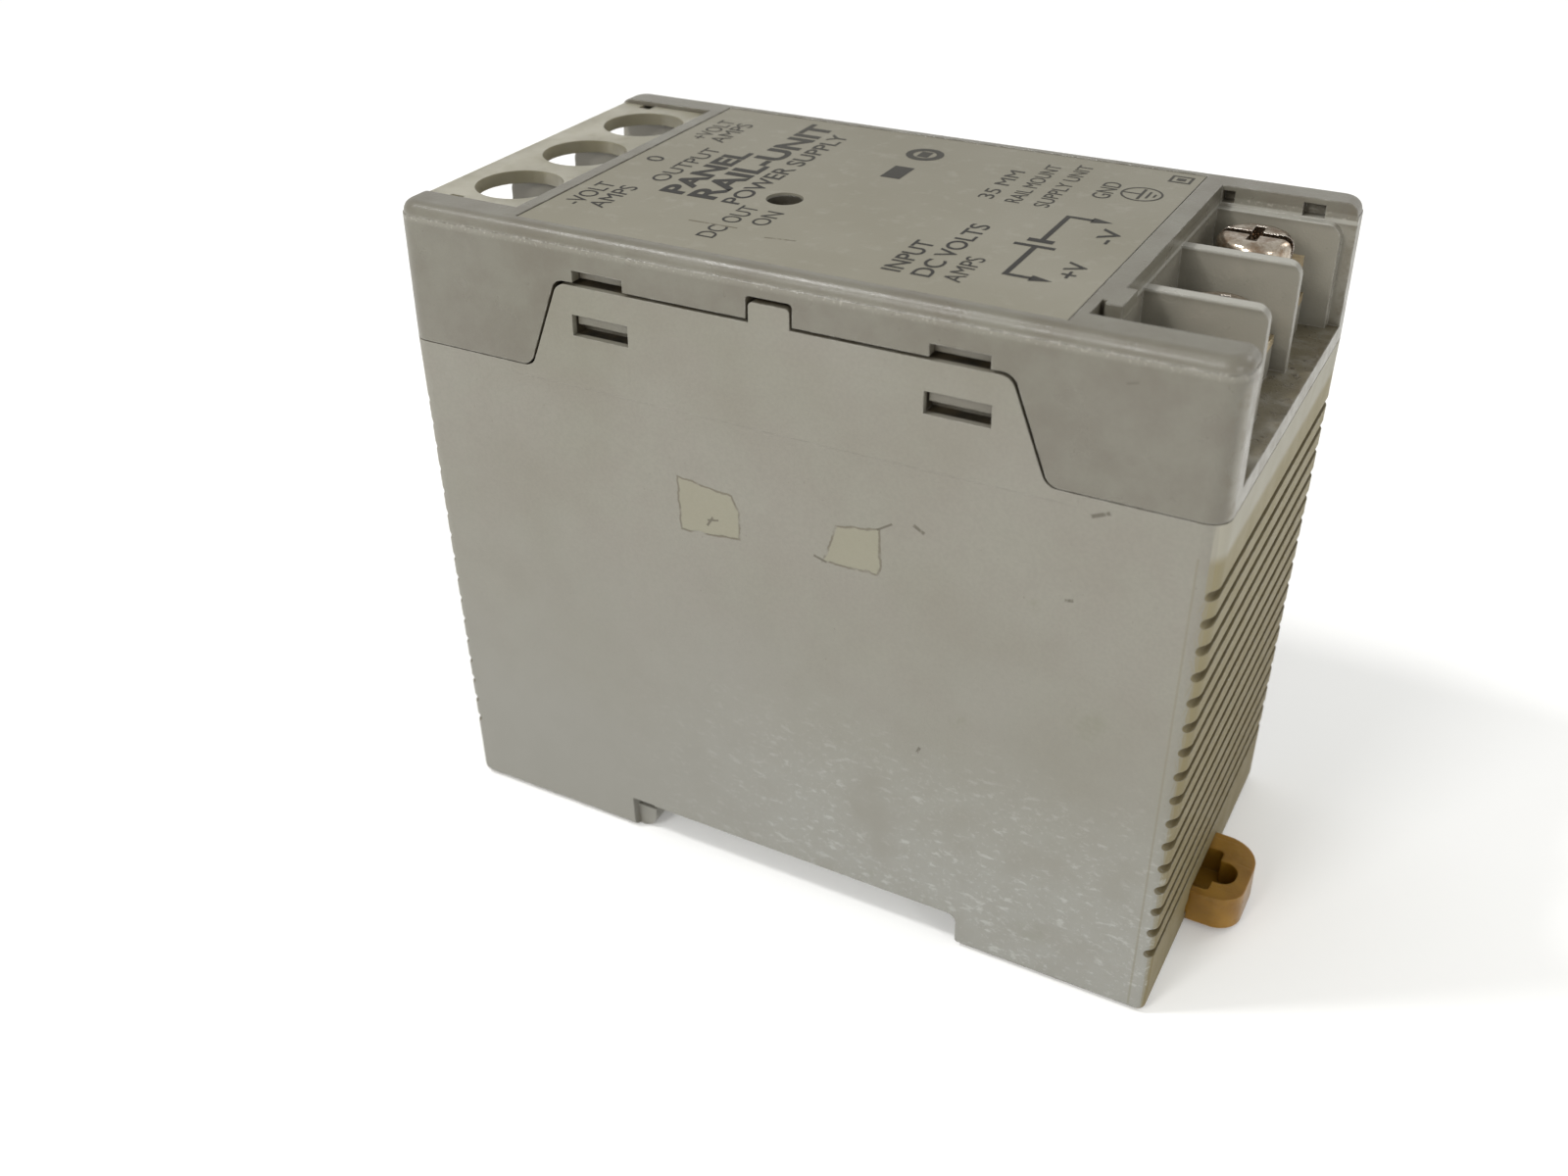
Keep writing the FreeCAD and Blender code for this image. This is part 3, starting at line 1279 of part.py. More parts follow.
def export_subparts():
    """Check that everything was built, then write one STEP file for each sub-part."""
    failed = [item.Name for item in doc.Objects if {"Invalid", "Error"} & set(item.State)]
    if failed:
        raise RuntimeError("not built: " + ", ".join(failed))
    for item in subparts:
        shape = item.Shape
        if shape.isNull() or not shape.isValid() or not shape.Solids:
            raise RuntimeError("no sound shape: " + item.Label)
    for item in subparts:
        item.Shape.exportStep("parts/" + item.Label + ".step")


export_subparts()
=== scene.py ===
import json
import math

import bmesh
import bpy
from mathutils import Matrix, Vector


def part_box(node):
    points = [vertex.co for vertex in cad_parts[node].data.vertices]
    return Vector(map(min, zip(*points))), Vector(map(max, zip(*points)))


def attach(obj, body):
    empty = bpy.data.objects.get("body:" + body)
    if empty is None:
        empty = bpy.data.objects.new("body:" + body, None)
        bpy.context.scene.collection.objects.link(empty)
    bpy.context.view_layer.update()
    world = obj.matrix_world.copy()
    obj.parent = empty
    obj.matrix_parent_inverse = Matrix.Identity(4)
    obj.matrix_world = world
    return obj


# The looks of a DIN rail power supply: grey-beige moulded case and front cover, printed
# label, screw terminals in dusty bays, a milky terminal cover and an amber rail latch.
# Lengths in the shaders and in the label's print are in millimetres of the row frame.

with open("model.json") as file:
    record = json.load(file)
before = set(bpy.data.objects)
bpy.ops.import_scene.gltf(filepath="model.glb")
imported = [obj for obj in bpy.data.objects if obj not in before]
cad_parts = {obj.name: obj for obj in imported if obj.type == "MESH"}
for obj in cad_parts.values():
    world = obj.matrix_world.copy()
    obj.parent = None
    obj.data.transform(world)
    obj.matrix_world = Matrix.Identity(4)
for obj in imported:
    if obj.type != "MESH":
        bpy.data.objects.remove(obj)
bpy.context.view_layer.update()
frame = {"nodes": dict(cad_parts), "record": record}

MM = 0.001
LABEL_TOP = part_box("front_label")[1].z
FLOOR_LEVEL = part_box("case")[0].z
NEAR_FACE = -18.6  # nearer than this is the outside of the case's near wall
END_WALLS = (33.9, 35.6)  # out from the middle, between these the long walls turn into the end walls
GROOVES_TOP = 44.0
PARTITION_TOP = 58.4
BAY_DUST_LEVEL = (55.0, 52.0)  # dust lies below these heights in the terminal bays
# Places that get little light: how far out from the middle, at what heights, how long from the middle.
CASE_WINDOWS = ((10.0, 19.4), (50.5, 57.7), 21.7)
COVER_WINDOWS = ((10.0, 19.0), (50.5, 56.5), 21.7)
RIM_POCKETS = ((18.3, 19.9), (58.35, 59.65), 35.0)
LAMP_CENTRE = tuple((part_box("status_led")[0][i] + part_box("status_led")[1][i]) / 2 / MM for i in (0, 1))


# ---- node graphs -------------------------------------------------------------------

class Shade:
    """One node material, built up from values and colours."""

    def __init__(self, name):
        self.material = bpy.data.materials.new(name)
        self.material.use_nodes = True
        self.tree = self.material.node_tree
        self.bsdf = self.tree.nodes["Principled BSDF"]
        scaled = self.node("ShaderNodeVectorMath", operation="SCALE")
        self.tree.links.new(self.node("ShaderNodeTexCoord").outputs["Object"], scaled.inputs[0])
        scaled.inputs["Scale"].default_value = 1 / MM
        self.place = scaled.outputs[0]
        split = self.node("ShaderNodeSeparateXYZ")
        self.tree.links.new(self.place, split.inputs[0])
        self.x, self.y, self.z = split.outputs
        facing = self.node("ShaderNodeSeparateXYZ")
        self.tree.links.new(self.node("ShaderNodeNewGeometry").outputs["True Normal"], facing.inputs[0])
        self.facing = facing.outputs

    def node(self, kind, **settings):
        made = self.tree.nodes.new(kind)
        for key, setting in settings.items():
            setattr(made, key, setting)
        return made

    def feed(self, socket, given):
        if isinstance(given, bpy.types.NodeSocket):
            self.tree.links.new(given, socket)
        elif isinstance(given, (tuple, list)) and socket.type == "RGBA":
            socket.default_value = (*given, 1.0)[:4]
        else:
            socket.default_value = given

    def set(self, **inputs):
        for key, given in inputs.items():
            self.feed(self.bsdf.inputs[key.replace("_", " ")], given)

    def math(self, operation, *given, clamp=False):
        made = self.node("ShaderNodeMath", operation=operation, use_clamp=clamp)
        for socket, item in zip(made.inputs, given):
            self.feed(socket, item)
        return made.outputs[0]

    def times(self, *given):
        """The product of two or more masks or numbers."""
        made = given[0]
        for item in given[1:]:
            made = self.math("MULTIPLY", made, item)
        return made

    def mix(self, share, low, high):
        made = self.node("ShaderNodeMix", data_type="RGBA")
        self.feed(made.inputs["Factor"], share)
        for socket, item in zip([s for s in made.inputs if s.type == "RGBA"], (low, high)):
            self.feed(socket, item)
        return [s for s in made.outputs if s.type == "RGBA"][0]

    def step(self, given, start, end):
        """0 where the value is at start, 1 at end, smooth between."""
        made = self.node("ShaderNodeMapRange", interpolation_type="SMOOTHSTEP")
        self.feed(made.inputs["Value"], given)
        self.feed(made.inputs["From Min"], start)
        self.feed(made.inputs["From Max"], end)
        return made.outputs["Result"]

    def stretch(self, scale, turn=(0, 0, 0)):
        """The place, turned and then stretched, for streaks."""
        made = self.node("ShaderNodeMapping", vector_type="POINT")
        self.feed(made.inputs["Vector"], self.place)
        made.inputs["Rotation"].default_value = turn
        made.inputs["Scale"].default_value = scale
        return made.outputs[0]

    def noise(self, per_mm, detail=2.0, place=None, rough=0.5):
        made = self.node("ShaderNodeTexNoise")
        self.feed(made.inputs["Vector"], place or self.place)
        made.inputs["Scale"].default_value = per_mm
        made.inputs["Detail"].default_value = detail
        made.inputs["Roughness"].default_value = rough
        return made.outputs["Fac"]

    def cells(self, per_mm, feature="F1"):
        made = self.node("ShaderNodeTexVoronoi", feature=feature)
        self.feed(made.inputs["Vector"], self.place)
        made.inputs["Scale"].default_value = per_mm
        return made.outputs["Distance"]

    def shelter(self, reach_mm):
        """0 in the open, 1 deep in a corner or a groove."""
        made = self.node("ShaderNodeAmbientOcclusion", samples=8)
        made.inputs["Distance"].default_value = reach_mm * MM
        return self.math("SUBTRACT", 1.0, made.outputs["AO"], clamp=True)

    def dust(self, reach_mm, per_mm, most=0.7):
        """Patches of dust and painted shade that gather in corners."""
        return self.times(self.step(self.shelter(reach_mm), 0.3, 0.9),
                          self.step(self.noise(per_mm, 3), 0.3, most))

    def edges(self, radius_mm):
        """(softened normal, 1 on sharp edges and 0 on flats)."""
        made = self.node("ShaderNodeBevel", samples=4)
        made.inputs["Radius"].default_value = radius_mm * MM
        against = self.node("ShaderNodeVectorMath", operation="DOT_PRODUCT")
        self.tree.links.new(made.outputs[0], against.inputs[0])
        self.tree.links.new(self.node("ShaderNodeNewGeometry").outputs["Normal"], against.inputs[1])
        return made.outputs[0], self.step(against.outputs["Value"], 0.995, 0.86)

    def bump(self, height, strength, depth_mm, normal=None):
        made = self.node("ShaderNodeBump")
        self.feed(made.inputs["Height"], height)
        made.inputs["Strength"].default_value = strength
        made.inputs["Distance"].default_value = depth_mm * MM
        if normal is not None:
            self.feed(made.inputs["Normal"], normal)
        return made.outputs[0]

    def inside(self, u, v, corners, wobble=0.0):
        """Distance inside a convex outline with its corners in turn order, less than 0 outside."""
        least = None
        for (u0, v0), (u1, v1) in zip(corners, corners[1:] + corners[:1]):
            long = math.hypot(u1 - u0, v1 - v0)
            nu, nv = (v1 - v0) / long, (u0 - u1) / long
            along_u = self.math("MULTIPLY_ADD", u, nu, -nu * u0 - nv * v0)
            away = self.math("MULTIPLY_ADD", v, nv, along_u)
            least = away if least is None else self.math("MINIMUM", least, away)
        return self.math("ADD", least, wobble)

    def dash(self, u, v, start, end, half_wide):
        """1 on a short straight mark from start to end."""
        (u0, v0), (u1, v1) = start, end
        long = math.hypot(u1 - u0, v1 - v0)
        du, dv = (u1 - u0) / long, (v1 - v0) / long
        along = self.math("MULTIPLY_ADD", u, du, self.math("MULTIPLY_ADD", v, dv, -du * u0 - dv * v0))
        across = self.math("MULTIPLY_ADD", u, -dv, self.math("MULTIPLY_ADD", v, du, dv * u0 - du * v0))
        off_middle = self.math("ABSOLUTE", self.math("SUBTRACT", along, long / 2))
        past = self.math("SUBTRACT", off_middle, long / 2)
        away = self.math("MAXIMUM", self.math("MAXIMUM", past, 0.0), self.math("ABSOLUTE", across))
        return self.step(away, half_wide, half_wide * 0.4)

    def spot(self, u, v, centre, radius):
        """1 in the middle of a soft round spot."""
        du = self.math("SUBTRACT", u, centre[0])
        dv = self.math("SUBTRACT", v, centre[1])
        away = self.math("SQRT", self.math("ADD", self.times(du, du), self.times(dv, dv)))
        return self.step(away, radius, radius * 0.15)

    def most(self, *masks):
        kept = masks[0]
        for mask in masks[1:]:
            kept = self.math("MAXIMUM", kept, mask)
        return kept


# ---- moulded plastics --------------------------------------------------------------

GREY_BEIGE = (0.211, 0.197, 0.165)
DARKER_BEIGE = (0.184, 0.172, 0.134)
PALE_WEAR_AND_SHEEN = (0.42, 0.405, 0.36)
GRIME_AND_SHADE_BROWN = (0.080, 0.060, 0.030)
INK_GREY = (0.022, 0.020, 0.017)
TAPE_YELLOW = (0.235, 0.222, 0.150)
PEN_BROWN = (0.08, 0.07, 0.05)


def moulded(name, base, deeper):
    """Fine matt moulded plastic with uneven ageing; returns its graph and parts of it."""
    shade = Shade(name)
    age = shade.step(shade.noise(0.035, 3), 0.35, 0.66)
    mottle = shade.step(shade.noise(0.22, 4, rough=0.6), 0.3, 0.7)
    colour = shade.mix(age, base, deeper)
    colour = shade.mix(shade.times(mottle, 0.22), colour, (0.238, 0.244, 0.196))
    grain = shade.step(shade.noise(3.2, 2), 0.35, 0.65)
    colour = shade.mix(shade.times(grain, 0.10), colour, (0.12, 0.115, 0.095))
    specks = shade.step(shade.noise(2.6, 2), 0.73, 0.80)
    colour = shade.mix(shade.times(specks, 0.35), colour, GRIME_AND_SHADE_BROWN)
    return shade, colour


def plastic_skin(shade, colour, rough, height, bevel=0.12, shine=0.0):
    """Grime and painted shade in corners, pale edges that are partly wear and partly painted highlight,
    moulding grain and the finish of the surface.
    """
    normal, edge = shade.edges(bevel)
    # painted shade: corners darkened by ambient occlusion, broken up by noise so it is partly grime
    corner_shade = shade.shelter(1.6)
    grime_and_shade = shade.times(shade.step(corner_shade, 0.28, 0.85), shade.step(shade.noise(0.5, 3), 0.2, 0.65))
    colour = shade.mix(shade.times(grime_and_shade, 0.75), colour, GRIME_AND_SHADE_BROWN)
    # pale edges: partly wear, partly painted highlight
    wear_and_sheen = shade.times(edge, shade.step(shade.noise(0.9, 3), 0.38, 0.62))
    colour = shade.mix(shade.times(wear_and_sheen, 0.6), colour, PALE_WEAR_AND_SHEEN)
    grain = shade.times(shade.noise(5.5, 3, rough=0.6), 0.035)
    sink = shade.times(shade.noise(0.06, 1), 0.25)
    height = shade.math("ADD", shade.math("ADD", grain, sink), height)
    gloss = shade.step(shade.noise(0.3, 3), 0.3, 0.7)
    rough = shade.math("MULTIPLY_ADD", edge, -shine, rough)
    shade.set(Base_Color=colour, Normal=shade.bump(height, 0.7, 1.0, normal),
              Roughness=shade.math("MULTIPLY_ADD", gloss, 0.10, rough))
    return shade.material


def near_wall_marks(shade, colour):
    """Old tape marks, pen ticks, scuffs and smudges on the near side of the case, with a painted soft
    reflection low on the right and a painted shade line along a shallow sink.
    """
    x, z = shade.x, shade.z
    near = shade.step(shade.y, NEAR_FACE + 0.1, NEAR_FACE - 0.1)
    wobble = shade.math("MULTIPLY_ADD", shade.noise(0.9, 3), 0.5, -0.25)
    left = shade.inside(x, z, [(-10.0, 39.7), (-4.6, 39.0), (-3.9, 37.6), (-3.9, 34.8), (-9.9, 34.3)],
                        wobble)
    right = shade.inside(x, z, [(5.4, 38.8), (9.3, 39.5), (9.5, 36.0), (9.2, 35.1), (4.2, 35.0)], wobble)
    tape = shade.math("MAXIMUM", left, right)
    film = shade.times(shade.step(tape, 0.0, 0.2), near)
    rim = shade.step(shade.math("ABSOLUTE", shade.math("SUBTRACT", tape, 0.02)), 0.17, 0.03)
    rim = shade.times(rim, shade.step(shade.noise(0.8, 2), 0.28, 0.55), near)
    colour = shade.mix(shade.times(film, 0.55), colour, TAPE_YELLOW)
    colour = shade.mix(shade.times(rim, 0.7), colour, (0.095, 0.08, 0.05))
    ticks = shade.most(
        shade.dash(x, z, (9.2, 39.5), (10.4, 40.3), 0.14),
        shade.dash(x, z, (12.5, 40.7), (13.2, 40.3), 0.22),
        shade.dash(x, z, (27.0, 45.6), (28.1, 46.1), 0.24),
        shade.dash(x, z, (-7.1, 35.5), (-6.6, 36.3), 0.16),
        shade.dash(x, z, (-7.0, 36.0), (-6.1, 36.2), 0.14),
        shade.dash(x, z, (3.4, 35.3), (4.4, 35.0), 0.16),
        shade.dash(x, z, (25.5, 37.5), (25.9, 37.6), 0.2),
        shade.dash(x, z, (13.3, 17.7), (13.5, 18.2), 0.2))
    ticks = shade.times(ticks, shade.step(shade.noise(2.2, 3), 0.25, 0.5))
    faint = shade.most(
        shade.spot(x, z, (23.0, 36.3), 0.9), shade.spot(x, z, (28.4, 26.0), 2.4),
        shade.spot(x, z, (24.9, 1.4), 2.0), shade.spot(x, z, (9.0, 1.6), 0.9),
        shade.spot(x, z, (17.2, 22.2), 1.3))
    faint = shade.times(faint, shade.step(shade.noise(0.8, 3), 0.3, 0.7))
    colour = shade.mix(shade.times(ticks, near, 0.8), colour, PEN_BROWN)
    colour = shade.mix(shade.times(faint, near, 0.35), colour, (0.15, 0.15, 0.10))
    slanted = shade.stretch((0.5, 0.8, 1.0), (0, math.radians(32), 0))
    streaks = shade.step(shade.noise(1.5, 4, slanted, 0.6), 0.55, 0.68)
    fine = shade.step(shade.noise(2.3, 4, rough=0.7), 0.57, 0.66)
    zone = shade.times(shade.step(x, -22.0, 10.0), shade.step(z, 24.0, 6.0))
    zone = shade.times(zone, shade.step(shade.noise(0.16, 2), 0.25, 0.55))
    scuff = shade.times(shade.most(streaks, shade.times(fine, 0.6)), zone, near)
    colour = shade.mix(shade.times(scuff, 0.5), colour, (0.40, 0.40, 0.37))
    # painted reflection: a soft greenish grey bloom low on the right of the near wall
    painted_reflection = shade.times(zone, near, shade.noise(0.5, 4, rough=0.7))
    colour = shade.mix(shade.times(painted_reflection, 0.45), colour, (0.30, 0.31, 0.29))
    # painted shade: a faint dark line across the near wall along a shallow sink
    sink_line_shade = shade.times(near, shade.dash(x, z, (-22.0, 52.95), (20.5, 52.95), 0.12))
    colour = shade.mix(shade.times(sink_line_shade, 0.35), colour, (0.2, 0.19, 0.15))
    parting = shade.times(near, shade.dash(x, z, (35.1, 44.0), (34.3, -3.0), 0.13))
    colour = shade.mix(shade.times(parting, 0.5), colour, (0.17, 0.15, 0.10))
    height = shade.times(film, 0.05)
    height = shade.math("ADD", height, shade.times(scuff, 0.02))
    return colour, height


def end_wall_tone(shade, colour):
    """The ends of the case are painted yellower and darker, most of all low down, towards the +X end and
    in the grooves; this is partly yellowing and partly painted shade.
    """
    end = shade.times(shade.step(shade.math("ABSOLUTE", shade.x), *END_WALLS),
                      shade.step(shade.math("ABSOLUTE", shade.facing[1]), 0.95, 0.7))
    low = shade.step(shade.math("MULTIPLY_ADD", shade.noise(0.12, 3), 14.0, shade.z), 54.0, 9.0)
    tone = shade.mix(low, (0.242, 0.210, 0.124), (0.180, 0.145, 0.070))
    above = shade.step(shade.z, GROOVES_TOP - 0.6, GROOVES_TOP + 0.6)
    tone = shade.mix(above, tone, (0.34, 0.322, 0.262))
    # stronger at the +X end: partly yellowing, partly painted shade
    yellowed_and_shaded = shade.math("MULTIPLY_ADD", shade.step(shade.x, -10.0, 10.0), 0.5, 0.4)
    colour = shade.mix(shade.times(end, yellowed_and_shaded), colour, tone)
    # painted shade in the grooves, from ambient occlusion
    groove_shade = shade.step(shade.times(shade.shelter(1.1), end), 0.16, 0.6)
    colour = shade.mix(shade.times(groove_shade, 0.5), colour, (0.095, 0.070, 0.032))
    return colour, end


def hollow(shade, colour, depths, levels, reach):
    """Little light gets into the catch windows and pockets: dark between two Y and two Z places."""
    out_y = shade.math("ABSOLUTE", shade.y)
    deep = shade.times(shade.step(out_y, depths[0] - 0.1, depths[0] + 0.1),
                       shade.step(out_y, depths[1] + 0.1, depths[1] - 0.1))
    level = shade.times(shade.step(shade.z, levels[0] - 0.1, levels[0] + 0.1),
                        shade.step(shade.z, levels[1] + 0.1, levels[1] - 0.1))
    across = shade.step(shade.math("ABSOLUTE", shade.x), reach + 0.2, reach - 0.2)
    outward = shade.times(shade.facing[1], shade.math("SIGN", shade.y))
    inward = shade.step(outward, 0.4, 0.1)
    return shade.mix(shade.times(deep, level, across, inward), colour, (0.012, 0.011, 0.008))


def case_plastic():
    """The lower part of the long walls is painted paler and cooler than the top, a painted light gradient.
    """
    shade, colour = moulded("case_plastic", GREY_BEIGE, DARKER_BEIGE)
    # painted light: paler towards the bottom of the wall, darker towards the top
    height_up = shade.math("MULTIPLY_ADD", shade.noise(0.05, 3), 24.0, shade.z)
    colour = shade.mix(shade.step(height_up, 52.0, 12.0), colour, (0.214, 0.207, 0.180))
    colour, end = end_wall_tone(shade, colour)
    colour, height = near_wall_marks(shade, colour)
    shade.set(Specular_IOR_Level=shade.math("MULTIPLY_ADD", end, -0.33, 0.4))
    return plastic_skin(shade, hollow(shade, colour, *CASE_WINDOWS), 0.46, height)


def cover_plastic():
    """Slightly yellower than the case, with dust on the bay floors, inner faces painted lighter as painted
    light, painted highlights along the top edges and partition tops, and painted shade in the lamp hole.
    """
    shade, colour = moulded("cover_plastic", (0.137, 0.124, 0.098), (0.121, 0.109, 0.081))
    # painted light: the inner faces of the cover are painted lighter
    inner = shade.times(shade.step(shade.math("ABSOLUTE", shade.y), 19.5, 18.8),
                        shade.step(shade.z, 58.6, 57.6))
    colour = shade.mix(shade.times(inner, 0.8), colour, (0.240, 0.226, 0.186))
    up = shade.step(shade.facing[2], 0.6, 0.9)
    deep = shade.times(up, shade.step(shade.z, *BAY_DUST_LEVEL))
    dust = shade.times(deep, shade.step(shade.noise(0.45, 4, rough=0.65), 0.25, 0.6))
    colour = shade.mix(shade.times(dust, 0.85), colour, (0.125, 0.105, 0.062))
    grit = shade.times(deep, shade.step(shade.noise(1.1, 4, rough=0.65), 0.58, 0.70))
    colour = shade.mix(shade.times(grit, 0.75), colour, (0.060, 0.044, 0.022))
    stain = shade.times(shade.step(shade.x, 35.6, 36.9),
                        shade.step(shade.noise(0.6, 4, rough=0.7), 0.42, 0.62))
    colour = shade.mix(shade.times(stain, 0.5), colour, (0.105, 0.080, 0.045))
    # painted highlight along the top edges, broken into specks
    painted_top_highlight = shade.times(shade.step(shade.z, 58.3, 58.75), shade.step(shade.z, 59.2, 58.95))
    highlight_specks = shade.math("MULTIPLY_ADD", shade.step(shade.noise(3.6, 3), 0.56, 0.68), 0.7, 0.3)
    colour = shade.mix(shade.times(highlight_specks, painted_top_highlight, 0.5), colour, (0.40, 0.385, 0.33))
    # painted highlight along the partition tops
    partition_highlight = shade.step(shade.math("ABSOLUTE", shade.math("SUBTRACT", shade.z, PARTITION_TOP)), 0.3, 0.1)
    partition_highlight = shade.times(partition_highlight, shade.step(shade.math("ABSOLUTE", shade.y), 17.5, 17.0))
    colour = shade.mix(shade.times(partition_highlight, 0.7), colour, (0.40, 0.39, 0.345))
    nicks = shade.times(shade.step(shade.z, 57.0, 60.0),
                        shade.step(shade.noise(0.8, 4, rough=0.7), 0.66, 0.74))
    colour = shade.mix(shade.times(nicks, 0.5), colour, (0.13, 0.12, 0.07))
    mark = shade.times(shade.dash(shade.x, shade.z, (28.5, 56.9), (29.2, 57.1), 0.13),
                       shade.step(shade.y, NEAR_FACE, NEAR_FACE - 0.2))
    colour = shade.mix(shade.times(mark, 0.5), colour, PEN_BROWN)
    # painted shade: the walls of the lamp hole are painted near black
    colour = shade.mix(shade.spot(shade.x, shade.y, LAMP_CENTRE, 3.2), colour, (0.008, 0.007, 0.005))
    colour = hollow(shade, colour, *RIM_POCKETS)
    colour = hollow(shade, colour, *COVER_WINDOWS)
    shade.set(Specular_IOR_Level=0.5)
    return plastic_skin(shade, colour, 0.27, shade.times(grit, 0.12), 0.18, 0.1)


def latch_plastic():
    """Amber resin that lets a little light through, scratched where a screwdriver goes in."""
    shade = Shade("latch_plastic")
    swirl = shade.step(shade.noise(0.25, 3), 0.35, 0.65)
    colour = shade.mix(swirl, (0.33, 0.172, 0.020), (0.22, 0.106, 0.009))
    normal, edge = shade.edges(0.2)
    # painted highlight: the edges are painted a lighter amber
    colour = shade.mix(shade.times(edge, 0.3), colour, (0.42, 0.26, 0.055))
    # painted shade in the corners, from ambient occlusion
    corner_shade = shade.step(shade.shelter(1.2), 0.35, 0.9)
    colour = shade.mix(shade.times(corner_shade, 0.6), colour, (0.08, 0.03, 0.005))
    scratch = shade.step(shade.noise(1.2, 3, shade.stretch((0.3, 2.2, 2.2), (0, 0, 0.3))), 0.62, 0.7)
    height = shade.math("MULTIPLY_ADD", scratch, -0.03, shade.times(shade.noise(3.0, 2), 0.03))
    shade.set(Base_Color=colour, Roughness=shade.math("MULTIPLY_ADD", scratch, 0.2, 0.3),
              Transmission_Weight=0.1, Specular_IOR_Level=0.35, Subsurface_Weight=0.15,
              Subsurface_Scale=0.0015, Subsurface_Radius=(1.0, 0.5, 0.15),
              Normal=shade.bump(height, 0.6, 1.0, normal))
    return shade.material


def milky_plastic():
    """The hinged terminal cover: cloudy, finger-marked and a little yellow, with dust and painted shade in
    its corners and upright faces painted darker, partly dirt and partly painted shade.
    """
    shade = Shade("clear_cover_plastic")
    cloud = shade.step(shade.noise(0.18, 3), 0.3, 0.7)
    colour = shade.mix(cloud, (0.46, 0.435, 0.345), (0.34, 0.315, 0.225))
    normal, edge = shade.edges(0.12)
    # dust and painted shade in the corners
    colour = shade.mix(shade.times(shade.dust(1.0, 0.7, 0.6), 0.6), colour, (0.16, 0.13, 0.07))
    # upright faces painted darker and browner: partly dirt, partly painted shade
    upright = shade.step(shade.math("ABSOLUTE", shade.facing[2]), 0.7, 0.3)
    colour = shade.mix(shade.times(upright, 0.55), colour, (0.20, 0.175, 0.105))
    prints = shade.step(shade.noise(0.7, 4), 0.45, 0.7)
    scratch = shade.step(shade.noise(1.0, 2, shade.stretch((2.6, 0.25, 1.0), (0, 0, 0.5))), 0.64, 0.70)
    height = shade.math("MULTIPLY_ADD", scratch, -0.02, shade.times(shade.noise(0.5, 2), 0.12))
    shade.set(Base_Color=colour, Roughness=shade.math("MULTIPLY_ADD", prints, 0.16, 0.28),
              Transmission_Weight=0.42, IOR=1.49, Normal=shade.bump(height, 0.5, 1.0, normal),
              Subsurface_Weight=shade.math("MULTIPLY_ADD", edge, 0.1, 0.2), Subsurface_Scale=0.001,
              Subsurface_Radius=(1.0, 0.95, 0.8))
    return shade.material


def label_film():
    """Matt printed film, faintly yellowed, with rubbed patches and two pen ticks, painted darker towards
    the far side and along its edges as painted shade.
    """
    shade = Shade("label_film")
    age = shade.step(shade.noise(0.06, 3), 0.3, 0.7)
    colour = shade.mix(age, (0.228, 0.214, 0.168), (0.200, 0.186, 0.140))
    # painted shade: darker towards the far side
    far = shade.step(shade.y, -18.0, 18.0)
    colour = shade.mix(shade.times(far, 0.35), colour, (0.165, 0.154, 0.118))
    rub = shade.step(shade.noise(0.5, 4, rough=0.65), 0.52, 0.72)
    colour = shade.mix(shade.times(rub, 0.1), colour, (0.30, 0.285, 0.235))
    pen = shade.most(shade.dash(shade.x, shade.y, (-12.3, -12.4), (-7.9, -12.3), 0.17),
                     shade.dash(shade.x, shade.y, (-4.6, -13.2), (-2.1, -12.8), 0.16))
    pen = shade.times(pen, shade.step(shade.noise(1.4, 2), 0.3, 0.5))
    colour = shade.mix(shade.times(pen, 0.75), colour, (0.06, 0.045, 0.02))
    # painted shade along the edges of the recess, from ambient occlusion
    rim = shade.step(shade.shelter(0.5), 0.3, 0.8)
    colour = shade.mix(shade.times(rim, 0.7), colour, (0.09, 0.075, 0.045))
    weave = shade.times(shade.noise(4.0, 3), 0.03)
    normal, _ = shade.edges(0.05)
    shade.set(Base_Color=colour, Roughness=shade.math("MULTIPLY_ADD", rub, -0.1, 0.5),
              Specular_IOR_Level=0.3, Normal=shade.bump(weave, 0.5, 1.0, normal))
    return shade.material


def label_ink():
    """Dark print, thin and broken where it is rubbed."""
    shade = Shade("label_ink")
    thin = shade.step(shade.noise(1.7, 4, rough=0.7), 0.50, 0.74)
    far = shade.step(shade.y, -6.0, 20.0)
    lost = shade.math("MULTIPLY_ADD", far, 0.14, shade.times(thin, 0.16))
    colour = shade.mix(lost, INK_GREY, (0.180, 0.170, 0.130))
    shade.set(Base_Color=colour, Roughness=shade.math("MULTIPLY_ADD", thin, 0.15, 0.5),
              Specular_IOR_Level=0.2, Normal=shade.bump(shade.noise(4.0, 2), 0.3, 0.03))
    return shade.material


# ---- metals and inner parts --------------------------------------------------------

def plated(name, bright, stained, rough, brushed=0.35):
    """Plated metal with stains, painted shade in its corners, brushed lines and edges that are partly
    rubbed and partly painted highlight.
    """
    shade = Shade(name)
    stain = shade.step(shade.noise(0.55, 4, rough=0.65), 0.36, 0.68)
    colour = shade.mix(stain, bright, stained)
    normal, edge = shade.edges(0.12)
    # edges lighter: partly rubbed, partly painted highlight
    colour = shade.mix(shade.times(edge, 0.5), colour, tuple(min(1.0, 1.25 * c) for c in bright))
    # painted shade in the corners, from ambient occlusion
    painted_corner_shade = shade.step(shade.shelter(1.0), 0.35, 0.9)
    colour = shade.mix(shade.times(painted_corner_shade, 0.6), colour, (0.05, 0.035, 0.02))
    lines = shade.noise(2.0, 3, shade.stretch((0.6, 4.0, 4.0), (0, 0, 0.4)))
    shade.set(Base_Color=colour, Metallic=1.0, Normal=shade.bump(lines, brushed, 0.03, normal),
              Roughness=shade.math("MULTIPLY_ADD", stain, 0.22, rough))
    return shade.material


